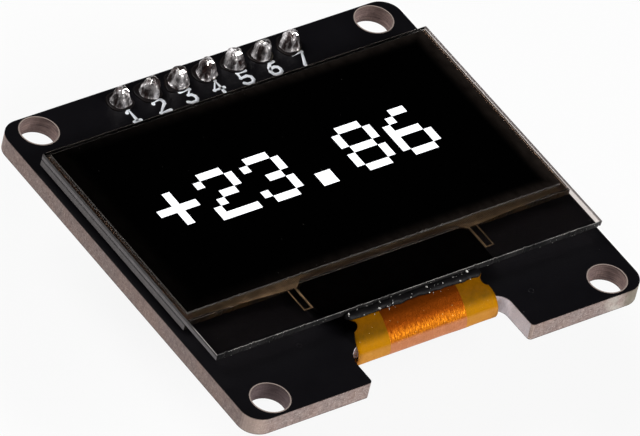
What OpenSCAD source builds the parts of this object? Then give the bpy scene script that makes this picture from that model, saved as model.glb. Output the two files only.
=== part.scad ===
// Small display module: a circuit board that carries a sealed glass display
// panel, the folded ribbon that drives it, and a row of header pins.
// Millimetres. The origin is the centre of the four mounting holes, on the
// board's back face. +X runs along the pin row, +Y towards the pin row, and
// +Z out of the display.

/* [Board] */
// Width of the board, along the pin row
board_w = 35.4; // [35:0.1:38]
// Depth of the board, from the ribbon notch to the pin row
board_d = 33.5; // [33:0.1:36]
// Thickness of the board
board_t = 1.5; // [1.2:0.1:2]
// Radius of the board's corners
board_r = 1.6; // [0.6:0.1:2.2]

/* [Mounting holes] */
// Distance from the board's side edges to the mounting holes
hole_side = 2.6; // [2.2:0.05:3]
// Distance from the board's front and rear edges to the mounting holes
hole_end = 1.7; // [1.65:0.05:2.05]
// Diameter of each mounting hole
hole_bore = 3.1; // [2.2:0.1:3.2]

/* [Ribbon notch] */
// Width of the notch in the front edge
notch_w = 14.3; // [13.6:0.1:15]
// Depth of the notch
notch_d = 3.75; // [3:0.05:4]
// Radius in the notch's inner corners
notch_r = 1.1; // [0.6:0.1:1.4]
// Radius of the board's corners beside the notch
lip_r = 0.3; // [0.1:0.05:0.5]

/* [Panel] */
// Width of both panes
panel_w = 34.5; // [34:0.1:35.4]
// Distance from the board's front edge to the front pane
panel_setback = 5.75; // [5.6:0.05:6]
// Distance from the board's rear edge to both panes
panel_margin = 5.05; // [4.4:0.05:5.3]
// Depth of the front pane's ledge, past the rear pane
ledge_d = 4; // [3.8:0.05:4.2]
// Thickness of the foam tape under the panel
tape_t = 0.4; // [0.2:0.05:0.6]
// Width of the bare border round the foam tape
tape_border = 1.6; // [0.8:0.1:3]
// Thickness of the rear pane
cap_t = 0.55; // [0.5:0.05:0.7]
// Thickness of the sealed gap between the panes
seal_t = 0.05; // [0.04:0.01:0.1]
// Width of the seal that joins the panes
seal_w = 1.2; // [0.8:0.05:1.25]
// Distance from the panes' edge to the seal
seal_inset = 0.15; // [0.05:0.05:0.2]
// Thickness of the front pane
glass_t = 0.55; // [0.4:0.05:0.7]
// Thickness of the polarizer
polar_t = 0.18; // [0.1:0.02:0.3]
// Border of bare glass beside and behind the polarizer
polar_border = 0.45; // [0.3:0.05:0.8]
// Distance from the rear pane's front edge back to the polarizer's front edge
polar_set = 0.4; // [0.2:0.05:0.6]
// Distance from the panes' side edges to the lit area
lit_side = 2.54; // [2.2:0.02:3.2]
// Distance from the rear pane's front and rear edges to the lit area
lit_end = 2; // [1.9:0.05:2.4]
// Border of the light-emitting layers round the lit area
layer_border = 0.3; // [0.1:0.05:0.4]
// Thickness of the light-emitting layers
layer_t = 0.02; // [0.01:0.005:0.03]
// Depth of the pocket in the rear pane
pocket_t = 0.3; // [0.2:0.05:0.35]
// Border of full glass round that pocket
pocket_border = 2; // [1.6:0.1:3]
// Thickness of the drying sheet in the pocket
dry_t = 0.2; // [0.1:0.05:0.25]

/* [Driver] */
// Width of the black resin block under the ledge
block_w = 15.2; // [13:0.1:15.4]
// Height of the black resin block
block_t = 0.5; // [0.4:0.05:0.55]
// Radius of the block's corners
block_r = 0.7; // [0.2:0.1:1]
// Length of the driver chip
chip_l = 9.2; // [6:0.1:12]
// Breadth of the driver chip
chip_b = 1.1; // [0.8:0.05:1.5]
// Thickness of the driver chip
chip_t = 0.3; // [0.2:0.02:0.36]
// Thickness of the metal tracks on the ledge
track_t = 0.01; // [0.005:0.005:0.015]
// Distance from the rear pane's front edge back to the track band's rear edge
band_set = 0.9; // [0.8:0.05:1]
// Breadth of the track band beside the block
band_b = 1.2; // [0.9:0.05:1.3]
// Breadth of the track band above the block
band_mid = 0.55; // [0.4:0.05:0.8]
// Breadth of the track band at its far ends
band_end = 0.7; // [0.4:0.05:0.85]
// Breadth of the track loop's leg next to the block
near_b = 0.3; // [0.2:0.01:0.35]
// Breadth of the track loop's other leg and of its end
far_b = 0.1; // [0.08:0.01:0.2]
// Breadth of the slot inside each track loop
slot_b = 0.42; // [0.3:0.01:0.5]
// Length of each track loop
loop_l = 2.25; // [1.5:0.05:2.3]

/* [Ribbon] */
// Width of the ribbon where it folds
ribbon_w = 12.7; // [12.2:0.1:13.2]
// Step in the ribbon's edge under the ledge, on each side
ribbon_step = 0.25; // [0.1:0.05:0.4]
// Radius of the relief cut in each edge of the ribbon
relief_r = 0.65; // [0.4:0.05:0.7]
// Thickness of the ribbon's base film
film_t = 0.06; // [0.04:0.01:0.08]
// Thickness of the copper conductors
copper_t = 0.025; // [0.015:0.005:0.035]
// Thickness of the cover film
cover_t = 0.035; // [0.025:0.005:0.05]
// Distance from the notch's inner edge back to the fold's centre
fold_set = 0.05; // [0:0.01:0.1]
// Depth of the bond between ribbon and ledge
bond_d = 1; // [0.8:0.05:1.1]
// Thickness of the bond
bond_t = 0.03; // [0.02:0.005:0.04]
// Number of conductors
ways = 30; // [24:1:30]
// Spacing of the conductors in the fold
fine_pitch = 0.225; // [0.2:0.005:0.25]
// Width of a conductor in the fold
fine_w = 0.12; // [0.08:0.01:0.15]
// Spacing of the conductors at the solder row
row_pitch = 0.65; // [0.6:0.01:0.68]
// Width of a conductor at the solder row
row_w = 0.36; // [0.25:0.01:0.42]
// Length of the solder row
row_l = 1.3; // [0.8:0.1:1.6]
// Width of the tail on the board's back
tail_w = 20.6; // [20.2:0.1:22]
// Length over which the conductors spread
spread_l = 3.2; // [3:0.1:3.6]
// Height of the glue bead along the ledge
bead_h = 0.34; // [0.2:0.02:0.45]
// Breadth of the glue bead
bead_b = 0.85; // [0.5:0.05:1]

/* [Header] */
// Number of pins
pin_count = 7; // [4:1:8]
// Spacing of the pins
pin_pitch = 2.54; // [2.5:0.01:2.6]
// Width of each square pin
pin_w = 0.64; // [0.5:0.01:0.66]
// Chamfer at a pin's tip
pin_tip = 0.18; // [0.05:0.01:0.2]
// Distance from the board's rear edge to the pin row
pin_edge = 1.45; // [1.4:0.05:2]
// Height of each pin above the board
pin_over = 1.4; // [1.25:0.05:2]
// Height of the plastic housing
housing_h = 2.54; // [2:0.02:3]
// Chamfer between the housing's positions
housing_cut = 0.45; // [0.2:0.05:0.6]
// Depth of the housing's recess round each pin
recess_h = 0.3; // [0.15:0.05:0.5]
// Length of each pin below the housing
pin_tail = 6; // [3:0.5:10]
// Radius of the plated land round each pin
land_r = 0.85; // [0.75:0.05:0.95]
// Thickness of the plating
land_t = 0.035; // [0.02:0.005:0.05]
// Bore radius of a plated hole
barrel_r = 0.5; // [0.49:0.01:0.6]
// Height of a solder joint above the board
solder_h = 1.15; // [0.8:0.05:1.2]

/* [Chip parts] */
// Distance from the board's left edge to the regulator and its capacitors
regulator_set = 5.2; // [4.6:0.1:6.4]
// Distance from the board's right edge to the diode and its resistors
diode_set = 7.7; // [5:0.1:8.5]
// Distance from the board's rear edge to the row of resistors
resistor_set = 7.15; // [5:0.05:8]
// Distance from the board's front edge to the row of capacitors
capacitor_set = 11.75; // [11:0.05:13]
// Length of a chip part
part_l = 1.6; // [1.4:0.05:1.8]
// Breadth of a chip part
part_b = 0.8; // [0.6:0.05:1]
// Length of a chip part's metal end
part_end = 0.3; // [0.2:0.05:0.4]
// Height of a chip resistor
resistor_h = 0.45; // [0.35:0.05:0.6]
// Height of a chip capacitor
capacitor_h = 0.8; // [0.6:0.05:1]
// Length of the solder beyond a part's end
fillet_l = 0.3; // [0.15:0.05:0.4]
// Length of the regulator's body
regulator_l = 2.9; // [2.7:0.05:3.1]
// Breadth of the regulator's body
regulator_b = 1.3; // [1.2:0.05:1.5]
// Height of the regulator's body
regulator_h = 0.95; // [0.8:0.05:1.1]
// Spacing of the regulator's paired leads
lead_pitch = 1.9; // [1.8:0.05:2]
// Length of the diode's body
diode_l = 1.7; // [1.6:0.05:1.9]
// Breadth of the diode's body
diode_b = 1.25; // [1.1:0.05:1.4]
// Height of the diode's body
diode_h = 0.85; // [0.7:0.05:1]
// Width of a lead
lead_w = 0.4; // [0.3:0.05:0.5]
// Thickness of a lead
lead_t = 0.15; // [0.1:0.01:0.2]

/* [Hidden] */
fit = 0.01;             // clearance round a piece that fills its seat
clear = 0.1;            // clearance between pieces that must not meet
past = 1;               // how far a cutting solid runs past a face
smooth = 48;            // facets of a full circle

front_y = -board_d / 2;
rear_y = board_d / 2;
notch_y = front_y + notch_d;
row_y = rear_y - pin_edge;

// The panel's layers, from the board upwards
tape_top = board_t + tape_t;
cap_top = tape_top + cap_t;
pane_z = cap_top + seal_t;
pane_top = pane_z + glass_t;
track_z = pane_z - track_t;
panel_front = front_y + panel_setback;
panel_rear = rear_y - panel_margin;
cap_front = panel_front + ledge_d;
cap_y = (cap_front + panel_rear) / 2;
cap_d = panel_rear - cap_front;
seal_edge = seal_inset + seal_w;
layer_side = lit_side - layer_border;
layer_end = lit_end - layer_border;

// The ribbon: a top run under the ledge, a half-round fold, and a tail
bond_y = panel_front + bond_d;
copper_top = pane_z - bond_t;
film_in = (copper_top - copper_t - film_t + land_t) / 2;
film_out = film_in + film_t;
copper_out = film_out + copper_t;
cover_out = copper_out + cover_t;
fold_y = notch_y + fold_set;
fold_z = film_in - land_t;
step_w = ribbon_w - 2 * ribbon_step;
relief_y = (panel_front + fold_y) / 2;
flare_y = notch_y + clear;
spread_y = flare_y + clear;
solder_y = spread_y + spread_l;
tail_y = solder_y + row_l + clear;
tail_z = fold_z - copper_out;

// The black block lies between the bond and the rear pane
block_y0 = bond_y + clear;
block_y1 = cap_front - clear;
block_y = (block_y0 + block_y1) / 2;
near_x = block_w / 2 + clear;
far_x = near_x + near_b + slot_b + far_b;

barrel_t = 0.03;        // plating on a hole's wall
solder_top_r = 0.52;    // radius of a solder joint at its top

// Chip parts on the board's back: [x, y, turn]
regulator_x = -board_w / 2 + regulator_set;
diode_x = board_w / 2 - diode_set;
resistor_row = [for (x = [-6, -2, 2, 6]) [x, rear_y - resistor_set, 90]];
capacitor_row = [for (x = [-9, -6, -3, 0, 3, 6]) [x, front_y + capacitor_set, 90]];
resistor_places = concat(resistor_row, [[diode_x, 3, 0], [diode_x, 5, 0]]);
capacitor_places = concat(capacitor_row, [[regulator_x, 0, 0], [regulator_x, 6.6, 0]]);
regulator_place = [regulator_x, 3.4];
diode_place = [diode_x, 0];

resistor_names = [for (i = [1:len(resistor_places)]) str("resistor_", i)];
capacitor_names = [for (i = [1:len(capacitor_places)]) str("capacitor_", i)];
pin_names = [for (i = [1:pin_count]) str("header_pin_", i)];
joint_names = [for (i = [1:pin_count]) str("solder_joint_", i)];

function pin_x(i) = (i - (pin_count + 1) / 2) * pin_pitch;
function way_x(i, pitch) = (i - (ways - 1) / 2) * pitch;

// ---- shared shapes

// A rectangle with true round corners, centred
module round_rect(w, d, r) {
    square([w - 2 * r, d], center = true);
    square([w, d - 2 * r], center = true);
    for (x = [-1, 1], y = [-1, 1])
        translate([x * (w / 2 - r), y * (d / 2 - r)]) circle(r, $fn = smooth);
}

// A plate from z0 to z1 over the rectangle [x0, y0] to [x1, y1]
module plate(x0, y0, x1, y1, z0, z1)
    translate([x0, y0, z0]) cube([x1 - x0, y1 - y0, z1 - z0]);

// A plate as wide as w, centred on x = 0
module mid_plate(w, y0, y1, z0, z1) plate(-w / 2, y0, w / 2, y1, z0, z1);

// A profile in the Y-Z plane, drawn out along X and centred
module along_x(w)
    rotate([90, 0, 90]) linear_extrude(w, center = true) children();

// ---- circuit board

module notch_cut() {
    depth = notch_d + past;
    translate([-notch_w / 2 + notch_r, front_y - past]) square([notch_w - 2 * notch_r, depth]);
    translate([-notch_w / 2, front_y - past]) square([notch_w, depth - notch_r]);
    for (side = [-1, 1]) {
        translate([side * (notch_w / 2 - notch_r), notch_y - notch_r]) circle(notch_r, $fn = smooth);
        difference() {
            translate([side * (notch_w + lip_r) / 2, front_y + (lip_r - past) / 2])
                square([lip_r + 2 * fit, lip_r + past], center = true);
            translate([side * (notch_w / 2 + lip_r), front_y + lip_r]) circle(lip_r, $fn = smooth);
            translate([side * (notch_w / 2 + lip_r + past / 2), front_y + lip_r])
                square([past, 4 * past], center = true);
        }
    }
}

module circuit_board() color("#17171c")
    difference() {
        linear_extrude(board_t) difference() {
            round_rect(board_w, board_d, board_r);
            notch_cut();
        }
        for (x = [-1, 1], y = [-1, 1])
            translate([x * (board_w / 2 - hole_side), y * (board_d / 2 - hole_end), -past])
                cylinder(h = board_t + 2 * past, d = hole_bore, $fn = 64);
        for (i = [1:pin_count])
            translate([pin_x(i), row_y, -past])
                cylinder(h = board_t + 2 * past, r = barrel_r + barrel_t, $fn = 32);
    }

// Plated holes with a land on each face of the board
module hole_plating() color("#c9c4b4")
    for (i = [1:pin_count]) translate([pin_x(i), row_y, 0]) difference() {
        union() {
            translate([0, 0, -land_t]) cylinder(h = land_t, r = land_r, $fn = 32);
            cylinder(h = board_t, r = barrel_r + barrel_t, $fn = 32);
            translate([0, 0, board_t]) cylinder(h = land_t, r = land_r, $fn = 32);
        }
        translate([0, 0, -past]) cylinder(h = board_t + 2 * past, r = barrel_r, $fn = 32);
    }

// ---- display panel

module foam_tape() color("#26262a")
    plate(-panel_w / 2 + tape_border, cap_front + tape_border,
          panel_w / 2 - tape_border, panel_rear - tape_border, board_t, tape_top);

module cap_glass() color("#8a9093")
    difference() {
        mid_plate(panel_w, cap_front, panel_rear, tape_top, cap_top);
        mid_plate(panel_w - 2 * pocket_border, cap_front + pocket_border, panel_rear - pocket_border,
                  cap_top - pocket_t, cap_top + past);
    }

module drying_sheet() color("#e9e4d6")
    mid_plate(panel_w - 2 * (pocket_border + clear), cap_front + pocket_border + clear,
              panel_rear - pocket_border - clear, cap_top - pocket_t, cap_top - pocket_t + dry_t);

module edge_seal() color("#3a2a1c")
    translate([0, cap_y, cap_top]) linear_extrude(seal_t - track_t) difference() {
        square([panel_w - 2 * seal_inset, cap_d - 2 * seal_inset], center = true);
        square([panel_w - 2 * seal_edge, cap_d - 2 * seal_edge], center = true);
    }

// The light-emitting layers, inside the seal on the front pane's back
module light_layers() color("#08080a")
    mid_plate(panel_w - 2 * layer_side, cap_front + layer_end, panel_rear - layer_end,
              pane_z - layer_t, pane_z);

module front_glass() color("#9aa3a6")
    mid_plate(panel_w, panel_front, panel_rear, pane_z, pane_top);

module polarizer() color("#060607")
    mid_plate(panel_w - 2 * polar_border, cap_front + polar_set, panel_rear - polar_border,
              pane_top, pane_top + polar_t);

// ---- driver chip and the tracks on the ledge

// Half of the track band's outline, from x = 0 outwards. The band broadens
// beside the block, where a loop runs down towards the ribbon.
function half_band(y, loop_y) =
    let (half = panel_w / 2 - 2 * polar_border)
    [[0, y], [half, y], [half, y - band_end], [far_x + far_b, y - band_b], [far_x, y - band_b],
     [far_x, loop_y], [near_x, loop_y], [near_x, y - band_b - clear],
     [block_w / 2 - block_r, y - band_mid], [0, y - band_mid]];

module ledge_tracks() color("#a89a80") {
    band_y = cap_front + band_set;
    loop_y = band_y - band_b - loop_l;
    right = half_band(band_y, loop_y);
    left = [for (k = [len(right) - 1:-1:0]) [-right[k][0], right[k][1]]];
    translate([0, 0, track_z]) linear_extrude(track_t) difference() {
        polygon(concat(right, left));
        for (side = [-1, 1])
            translate([side * (near_x + near_b + slot_b / 2), loop_y + (far_b + loop_l) / 2])
                square([slot_b, loop_l - far_b], center = true);
    }
}

module driver_chip() color("#2c2c30")
    translate([0, block_y, track_z - chip_t / 2]) cube([chip_l, chip_b, chip_t], center = true);

module resin_block() color("#101014")
    difference() {
        translate([0, block_y, track_z - block_t]) linear_extrude(block_t)
            round_rect(block_w, block_y1 - block_y0, block_r);
        translate([0, block_y, track_z])
            cube([chip_l + 2 * fit, chip_b + 2 * fit, 2 * (chip_t + fit)], center = true);
    }

// ---- folded ribbon

// Half of a ring about the fold's axis, on the side away from the board
module fold_ring(r_in, r_out)
    translate([fold_y, fold_z]) difference() {
        circle(r_out, $fn = 2 * smooth);
        circle(r_in, $fn = 2 * smooth);
        translate([0, -2 * r_out]) square(4 * r_out);
    }

// The relief cuts in the ribbon's edges, beside its top run
module relief_cuts(z)
    for (side = [-1, 1])
        translate([side * ribbon_w / 2, relief_y, z]) cylinder(h = past, r = relief_r, $fn = smooth);

// A layer's top run, from the fold to y1
module top_run(y1, z0, z1)
    difference() {
        union() {
            mid_plate(ribbon_w, fold_y, relief_y, z0, z1);
            mid_plate(step_w, relief_y, y1, z0, z1);
        }
        relief_cuts(z0 - past / 2);
    }

// The tail on the board's back is broader than the notch
module tail_plate(y1, z0, z1) {
    mid_plate(ribbon_w, fold_y, flare_y, z0, z1);
    mid_plate(tail_w, flare_y, y1, z0, z1);
}

module ribbon_film() color("#c98a1e") {
    top_run(bond_y, fold_z + film_in, fold_z + film_out);
    along_x(ribbon_w) fold_ring(film_in, film_out);
    tail_plate(tail_y, fold_z - film_out, fold_z - film_in);
}

// One conductor: from under the ledge, round the fold, then across to its pad
module conductor(i) {
    x0 = way_x(i, fine_pitch);
    x1 = way_x(i, row_pitch);
    translate([x0, 0, 0]) along_x(fine_w) {
        translate([fold_y, fold_z + film_out]) square([bond_y - fold_y, copper_t]);
        fold_ring(film_out, copper_out);
        translate([fold_y, tail_z]) square([spread_y - fold_y, copper_t]);
    }
    translate([0, 0, tail_z]) linear_extrude(copper_t) {
        polygon([[x0 - fine_w / 2, spread_y], [x0 + fine_w / 2, spread_y],
                 [x1 + fine_w / 2, solder_y], [x1 - fine_w / 2, solder_y]]);
        translate([x1 - row_w / 2, solder_y]) square([row_w, row_l]);
    }
}

module ribbon_conductors() color("#c8783a")
    for (i = [0:ways - 1]) conductor(i);

module ribbon_cover() color("#d99a22") {
    top_run(panel_front - fit, fold_z + copper_out, fold_z + cover_out);
    along_x(ribbon_w) fold_ring(copper_out, cover_out);
    tail_plate(solder_y - fit, fold_z - cover_out, fold_z - copper_out);
}

module ribbon_bond() color("#6a5a3c")
    mid_plate(step_w, panel_front + fit, bond_y, copper_top, pane_z);

// Solder on each conductor's end: a round-topped bar
module ribbon_solder() color("#c4c6c8")
    for (i = [0:ways - 1])
        translate([way_x(i, row_pitch), solder_y + row_l / 2, tail_z])
            rotate([90, 0, 0]) linear_extrude(row_l - 2 * clear, center = true) difference() {
                circle(d = row_w, $fn = 24);
                translate([-row_w, 0]) square(2 * row_w);
            }

// Black glue along the ledge's front edge, on top of the ribbon
module glue_bead() color("#131316") {
    steps = 8;
    swell = [for (k = [0:steps]) [-bead_b * k / steps, bead_h * sqrt(1 - pow(k / steps, 2))]];
    along_x(step_w) translate([panel_front - fit, fold_z + cover_out])
        polygon(concat([[0, 0]], swell));
}

// ---- pin header on the board's back

module housing_cell() {
    half = pin_pitch / 2;
    flat = half - housing_cut;
    polygon([[-half, -flat], [-flat, -half], [flat, -half], [half, -flat],
             [half, flat], [flat, half], [-flat, half], [-half, flat]]);
}

module header_housing() color("#1a1a1c")
    difference() {
        translate([0, row_y, -housing_h]) linear_extrude(housing_h)
            for (i = [1:pin_count]) translate([pin_x(i), 0]) housing_cell();
        for (i = [1:pin_count]) translate([pin_x(i), row_y, 0]) {
            cube([pin_w + 2 * fit, pin_w + 2 * fit, 4 * housing_h], center = true);
            translate([0, 0, -recess_h]) cylinder(h = past, r = land_r + clear, $fn = smooth);
        }
    }

// A square pin's side view, chamfered at both ends
module pin_side(top, bottom) {
    half = pin_w / 2;
    tip = half - pin_tip;
    polygon([[-tip, bottom], [tip, bottom], [half, bottom + 2 * pin_tip], [half, top - pin_tip],
             [tip, top], [-tip, top], [-half, top - pin_tip], [-half, bottom + 2 * pin_tip]]);
}

module header_pin(i) color("#d8c07a") {
    top = board_t + pin_over;
    bottom = -housing_h - pin_tail;
    translate([pin_x(i), row_y, 0]) intersection() {
        rotate([90, 0, 0]) linear_extrude(pin_w, center = true) pin_side(top, bottom);
        along_x(pin_w) pin_side(top, bottom);
    }
}

// Solder climbs the pin from its land in a hollow curve, and fills the hole
module solder_joint(i) color("#c9cbce") {
    steps = 8;
    rise = solder_h - land_t;
    flank = [for (k = [0:steps]) [solder_top_r + (land_r - solder_top_r) * pow(1 - k / steps, 2.2),
                                  rise * k / steps]];
    translate([pin_x(i), row_y, 0]) difference() {
        union() {
            translate([0, 0, board_t + land_t]) rotate_extrude($fn = smooth)
                polygon(concat([[0, 0]], flank, [[0, rise]]));
            cylinder(h = board_t + land_t, r = barrel_r - fit / 2, $fn = 32);
        }
        cube([pin_w + fit, pin_w + fit, 8 * board_t], center = true);
    }
}

// ---- chip parts on the board's back

// Moves a child from the drawing plane to the board's back, z pointing down
module on_back(x, y, turn)
    translate([x, y, -land_t]) rotate([180, 0, turn]) children();

module chip_body(place, h)
    on_back(place[0], place[1], place[2])
        translate([0, 0, h / 2]) cube([part_l - 2 * part_end, part_b - 4 * fit, h - 2 * fit], center = true);

module chip_end_pair(place, h)
    on_back(place[0], place[1], place[2])
        for (side = [-1, 1])
            translate([side * (part_l - part_end) / 2, 0, h / 2]) cube([part_end, part_b, h], center = true);

// A solder fillet at each end of a chip part
module chip_fillet_pair(place, h)
    on_back(place[0], place[1], place[2])
        for (side = [-1, 1]) mirror([side > 0 ? 0 : 1, 0, 0])
            translate([part_l / 2, 0, 0]) rotate([90, 0, 0]) linear_extrude(part_b, center = true)
                polygon([[0, 0], [fillet_l, 0], [fillet_l / 3, h / 5], [0, h / 2]]);

module chip_pad_pair(place)
    for (side = [-1, 1]) translate([place[0], place[1], -land_t / 2]) rotate(place[2])
        translate([side * (part_l / 2 + (fillet_l - part_end) / 2), 0, 0])
            cube([part_end + fillet_l + 2 * clear, part_b + 2 * clear, land_t], center = true);

module resistor(i) color("#1c1c20") chip_body(resistor_places[i - 1], resistor_h);
module capacitor(i) color("#a5825c") chip_body(capacitor_places[i - 1], capacitor_h);

module chip_ends() color("#c2c4c6") {
    for (place = resistor_places) chip_end_pair(place, resistor_h);
    for (place = capacitor_places) chip_end_pair(place, capacitor_h);
}

module chip_solder() color("#b9bcc0") {
    for (place = resistor_places) chip_fillet_pair(place, resistor_h);
    for (place = capacitor_places) chip_fillet_pair(place, capacitor_h);
}

// A moulded body with a draft on its sides, standing off the board
module moulded_body(l, b, h) {
    draft = h / 8;
    rise = 0.1;
    rotate([90, 0, 0]) linear_extrude(b, center = true)
        polygon([[-l / 2 + draft, rise], [l / 2 - draft, rise], [l / 2, h / 2],
                 [l / 2 - draft, h], [-l / 2 + draft, h], [-l / 2, h / 2]]);
}

// A gull-wing lead that leaves the body at half its height, y pointing out
module lead(h) {
    out = 0.25;
    foot = 0.4;
    mid = h / 2;
    rotate([90, 0, 90]) linear_extrude(lead_w, center = true)
        polygon([[0, mid - lead_t / 2], [out - lead_t, mid - lead_t / 2], [out - lead_t, 0],
                 [out + foot, 0], [out + foot, lead_t], [out, lead_t], [out, mid + lead_t / 2],
                 [0, mid + lead_t / 2]]);
}

module regulator_body() color("#1b1b1e")
    on_back(regulator_place[0], regulator_place[1], 0) moulded_body(regulator_l, regulator_b, regulator_h);

module regulator_leads() color("#c6c8ca")
    on_back(regulator_place[0], regulator_place[1], 0) {
        for (x = [-1, 1]) translate([x * lead_pitch / 2, regulator_b / 2, 0]) lead(regulator_h);
        mirror([0, 1, 0]) translate([0, regulator_b / 2, 0]) lead(regulator_h);
    }

module diode_body() color("#1b1b1e")
    on_back(diode_place[0], diode_place[1], 90) moulded_body(diode_b, diode_l, diode_h);

module diode_leads() color("#c6c8ca")
    on_back(diode_place[0], diode_place[1], 90)
        for (side = [0, 1]) mirror([0, side, 0]) translate([0, diode_l / 2, 0]) lead(diode_h);

// Bare pads on the board's back
module board_pads() color("#c8a860") {
    for (place = concat(resistor_places, capacitor_places)) chip_pad_pair(place);
    for (i = [0:ways - 1])
        translate([way_x(i, row_pitch) - row_w / 2, solder_y, -land_t]) cube([row_w, row_l, land_t]);
}

circuit_board();
foam_tape();
cap_glass();
drying_sheet();
edge_seal();
light_layers();
front_glass();
polarizer();
ledge_tracks();
driver_chip();
resin_block();
ribbon_bond();
ribbon_film();
ribbon_conductors();
ribbon_cover();
ribbon_solder();
glue_bead();
board_pads();
hole_plating();
header_housing();
chip_ends();
chip_solder();
regulator_body();
regulator_leads();
diode_body();
diode_leads();
for (i = [1:pin_count]) header_pin(i);
for (i = [1:pin_count]) solder_joint(i);
for (i = [1:len(resistor_places)]) resistor(i);
for (i = [1:len(capacitor_places)]) capacitor(i);
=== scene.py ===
import random
from math import cos, hypot, pi, radians, sin, sqrt
import bmesh
import bpy
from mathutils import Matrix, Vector, noise


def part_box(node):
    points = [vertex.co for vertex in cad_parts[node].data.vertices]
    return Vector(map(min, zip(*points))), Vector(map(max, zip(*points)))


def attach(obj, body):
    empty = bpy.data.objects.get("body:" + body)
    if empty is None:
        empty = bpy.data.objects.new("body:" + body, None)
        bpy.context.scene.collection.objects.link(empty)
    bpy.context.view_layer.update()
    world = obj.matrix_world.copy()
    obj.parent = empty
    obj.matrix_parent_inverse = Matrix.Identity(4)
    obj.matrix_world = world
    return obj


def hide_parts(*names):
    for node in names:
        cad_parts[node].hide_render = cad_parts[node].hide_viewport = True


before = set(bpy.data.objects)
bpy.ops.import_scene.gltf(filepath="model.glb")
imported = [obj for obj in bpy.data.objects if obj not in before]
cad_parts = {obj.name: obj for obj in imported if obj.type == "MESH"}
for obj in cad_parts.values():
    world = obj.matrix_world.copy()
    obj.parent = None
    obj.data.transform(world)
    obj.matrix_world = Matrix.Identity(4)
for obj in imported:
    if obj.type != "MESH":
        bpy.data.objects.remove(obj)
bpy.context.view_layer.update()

# Small display module. Everything is in metres, in the CAD's own frame: +X along
# the pins, +Y towards the pins, +Z out of the display.
mm = 0.001
scene = bpy.context.scene
scene.view_settings.view_transform = "Standard"


def rgb(r, g, b):
    # a colour as seen on screen, 0 to 255, as the linear colour that nodes want
    return tuple(((c / 255 + 0.055) / 1.055) ** 2.4 if c > 10 else c / 3295 for c in (r, g, b)) + (1.0,)


class Nodes:
    # short ways to add and join the nodes of one tree
    def __init__(self, tree):
        self.tree = tree

    def feed(self, socket, value):
        if isinstance(value, bpy.types.NodeSocket):
            self.tree.links.new(value, socket)
        else:
            socket.default_value = value

    def add(self, kind, inputs=None, **settings):
        node = self.tree.nodes.new(kind)
        for name, value in settings.items():
            setattr(node, name, value)
        for name, value in (inputs or {}).items():
            self.feed(node.inputs[name], value)
        return node

    def math(self, operation, a, b=0.0, clamp=False):
        return self.add("ShaderNodeMath", {0: a, 1: b}, operation=operation, use_clamp=clamp).outputs[0]

    def times(self, a, b, clamp=False):
        return self.math("MULTIPLY", a, b, clamp)

    def minus(self, a, b):
        return self.math("SUBTRACT", a, b)

    def over(self, a, b):
        return self.math("GREATER_THAN", a, b)

    def under(self, a, b):
        return self.math("LESS_THAN", a, b)

    def away(self, value, middle=0.0):
        # distance to either side of middle
        return self.math("ABSOLUTE", self.minus(value, middle) if middle else value)

    def vector(self, operation, a, b=(0.0, 0.0, 0.0)):
        node = self.add("ShaderNodeVectorMath", {0: a}, operation=operation)
        self.feed(node.inputs["Scale" if operation == "SCALE" else 1], b)
        return node.outputs["Value" if operation in ("LENGTH", "DOT_PRODUCT") else "Vector"]

    def split(self, vector):
        return self.add("ShaderNodeSeparateXYZ", {0: vector}).outputs

    def join(self, x, y, z=0.0):
        return self.add("ShaderNodeCombineXYZ", {0: x, 1: y, 2: z}).outputs[0]

    def step(self, value, low, high):
        # 0 below low, 1 above high, smooth between
        return self.add("ShaderNodeMapRange", {0: value, 1: low, 2: high},
                        interpolation_type="SMOOTHSTEP").outputs[0]

    def between(self, value, low, high):
        # a number that runs from low to high as value runs from 0 to 1
        return self.add("ShaderNodeMapRange", {0: value, 3: low, 4: high}).outputs[0]

    def mix(self, share, a, b):
        return self.add("ShaderNodeMix", {0: share, 6: a, 7: b}, data_type="RGBA").outputs[2]

    def paint(self, base, colour, mask, share):
        # colour laid over base where the mask is 1, as thickly as share
        return self.mix(self.times(mask, share), base, colour)

    def group(self, tree, **values):
        return self.add("ShaderNodeGroup", values, node_tree=tree).outputs[0]


def groupTree(name, inputs, result, geometry=False):
    # a group with named inputs and one result: returns its tree, nodes, inputs and end
    kinds = {int: "NodeSocketInt", float: "NodeSocketFloat", tuple: "NodeSocketVector"}
    resultKind = "NodeSocketGeometry" if geometry else "NodeSocketFloat"
    tree = bpy.data.node_groups.new(name, "GeometryNodeTree" if geometry else "ShaderNodeTree")
    if geometry:
        tree.interface.new_socket(result, in_out="INPUT", socket_type=resultKind)
    for label, value in inputs.items():
        tree.interface.new_socket(label, in_out="INPUT", socket_type=kinds[type(value)]).default_value = value
    tree.interface.new_socket(result, in_out="OUTPUT", socket_type=resultKind)
    nodes = Nodes(tree)
    return tree, nodes, nodes.add("NodeGroupInput").outputs, nodes.add("NodeGroupOutput").inputs[0]


def makeGrain():
    # cloudy variation about 0.5, stretched by Stretch
    tree, nodes, start, end = groupTree("grain", {"Place": (0.0, 0.0, 0.0), "Stretch": (1.0, 1.0, 1.0),
                                                  "Scale": 1.0, "Contrast": 1.0}, "Value")
    stretched = nodes.vector("MULTIPLY", start["Place"], start["Stretch"])
    value = nodes.add("ShaderNodeTexNoise", {"Vector": stretched, "Scale": start["Scale"], "Detail": 4.0,
                                             "Roughness": 0.55}).outputs[0]
    spread = nodes.times(nodes.minus(value, 0.5), start["Contrast"])
    nodes.feed(end, nodes.math("ADD", spread, 0.5, clamp=True))
    return tree


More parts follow.
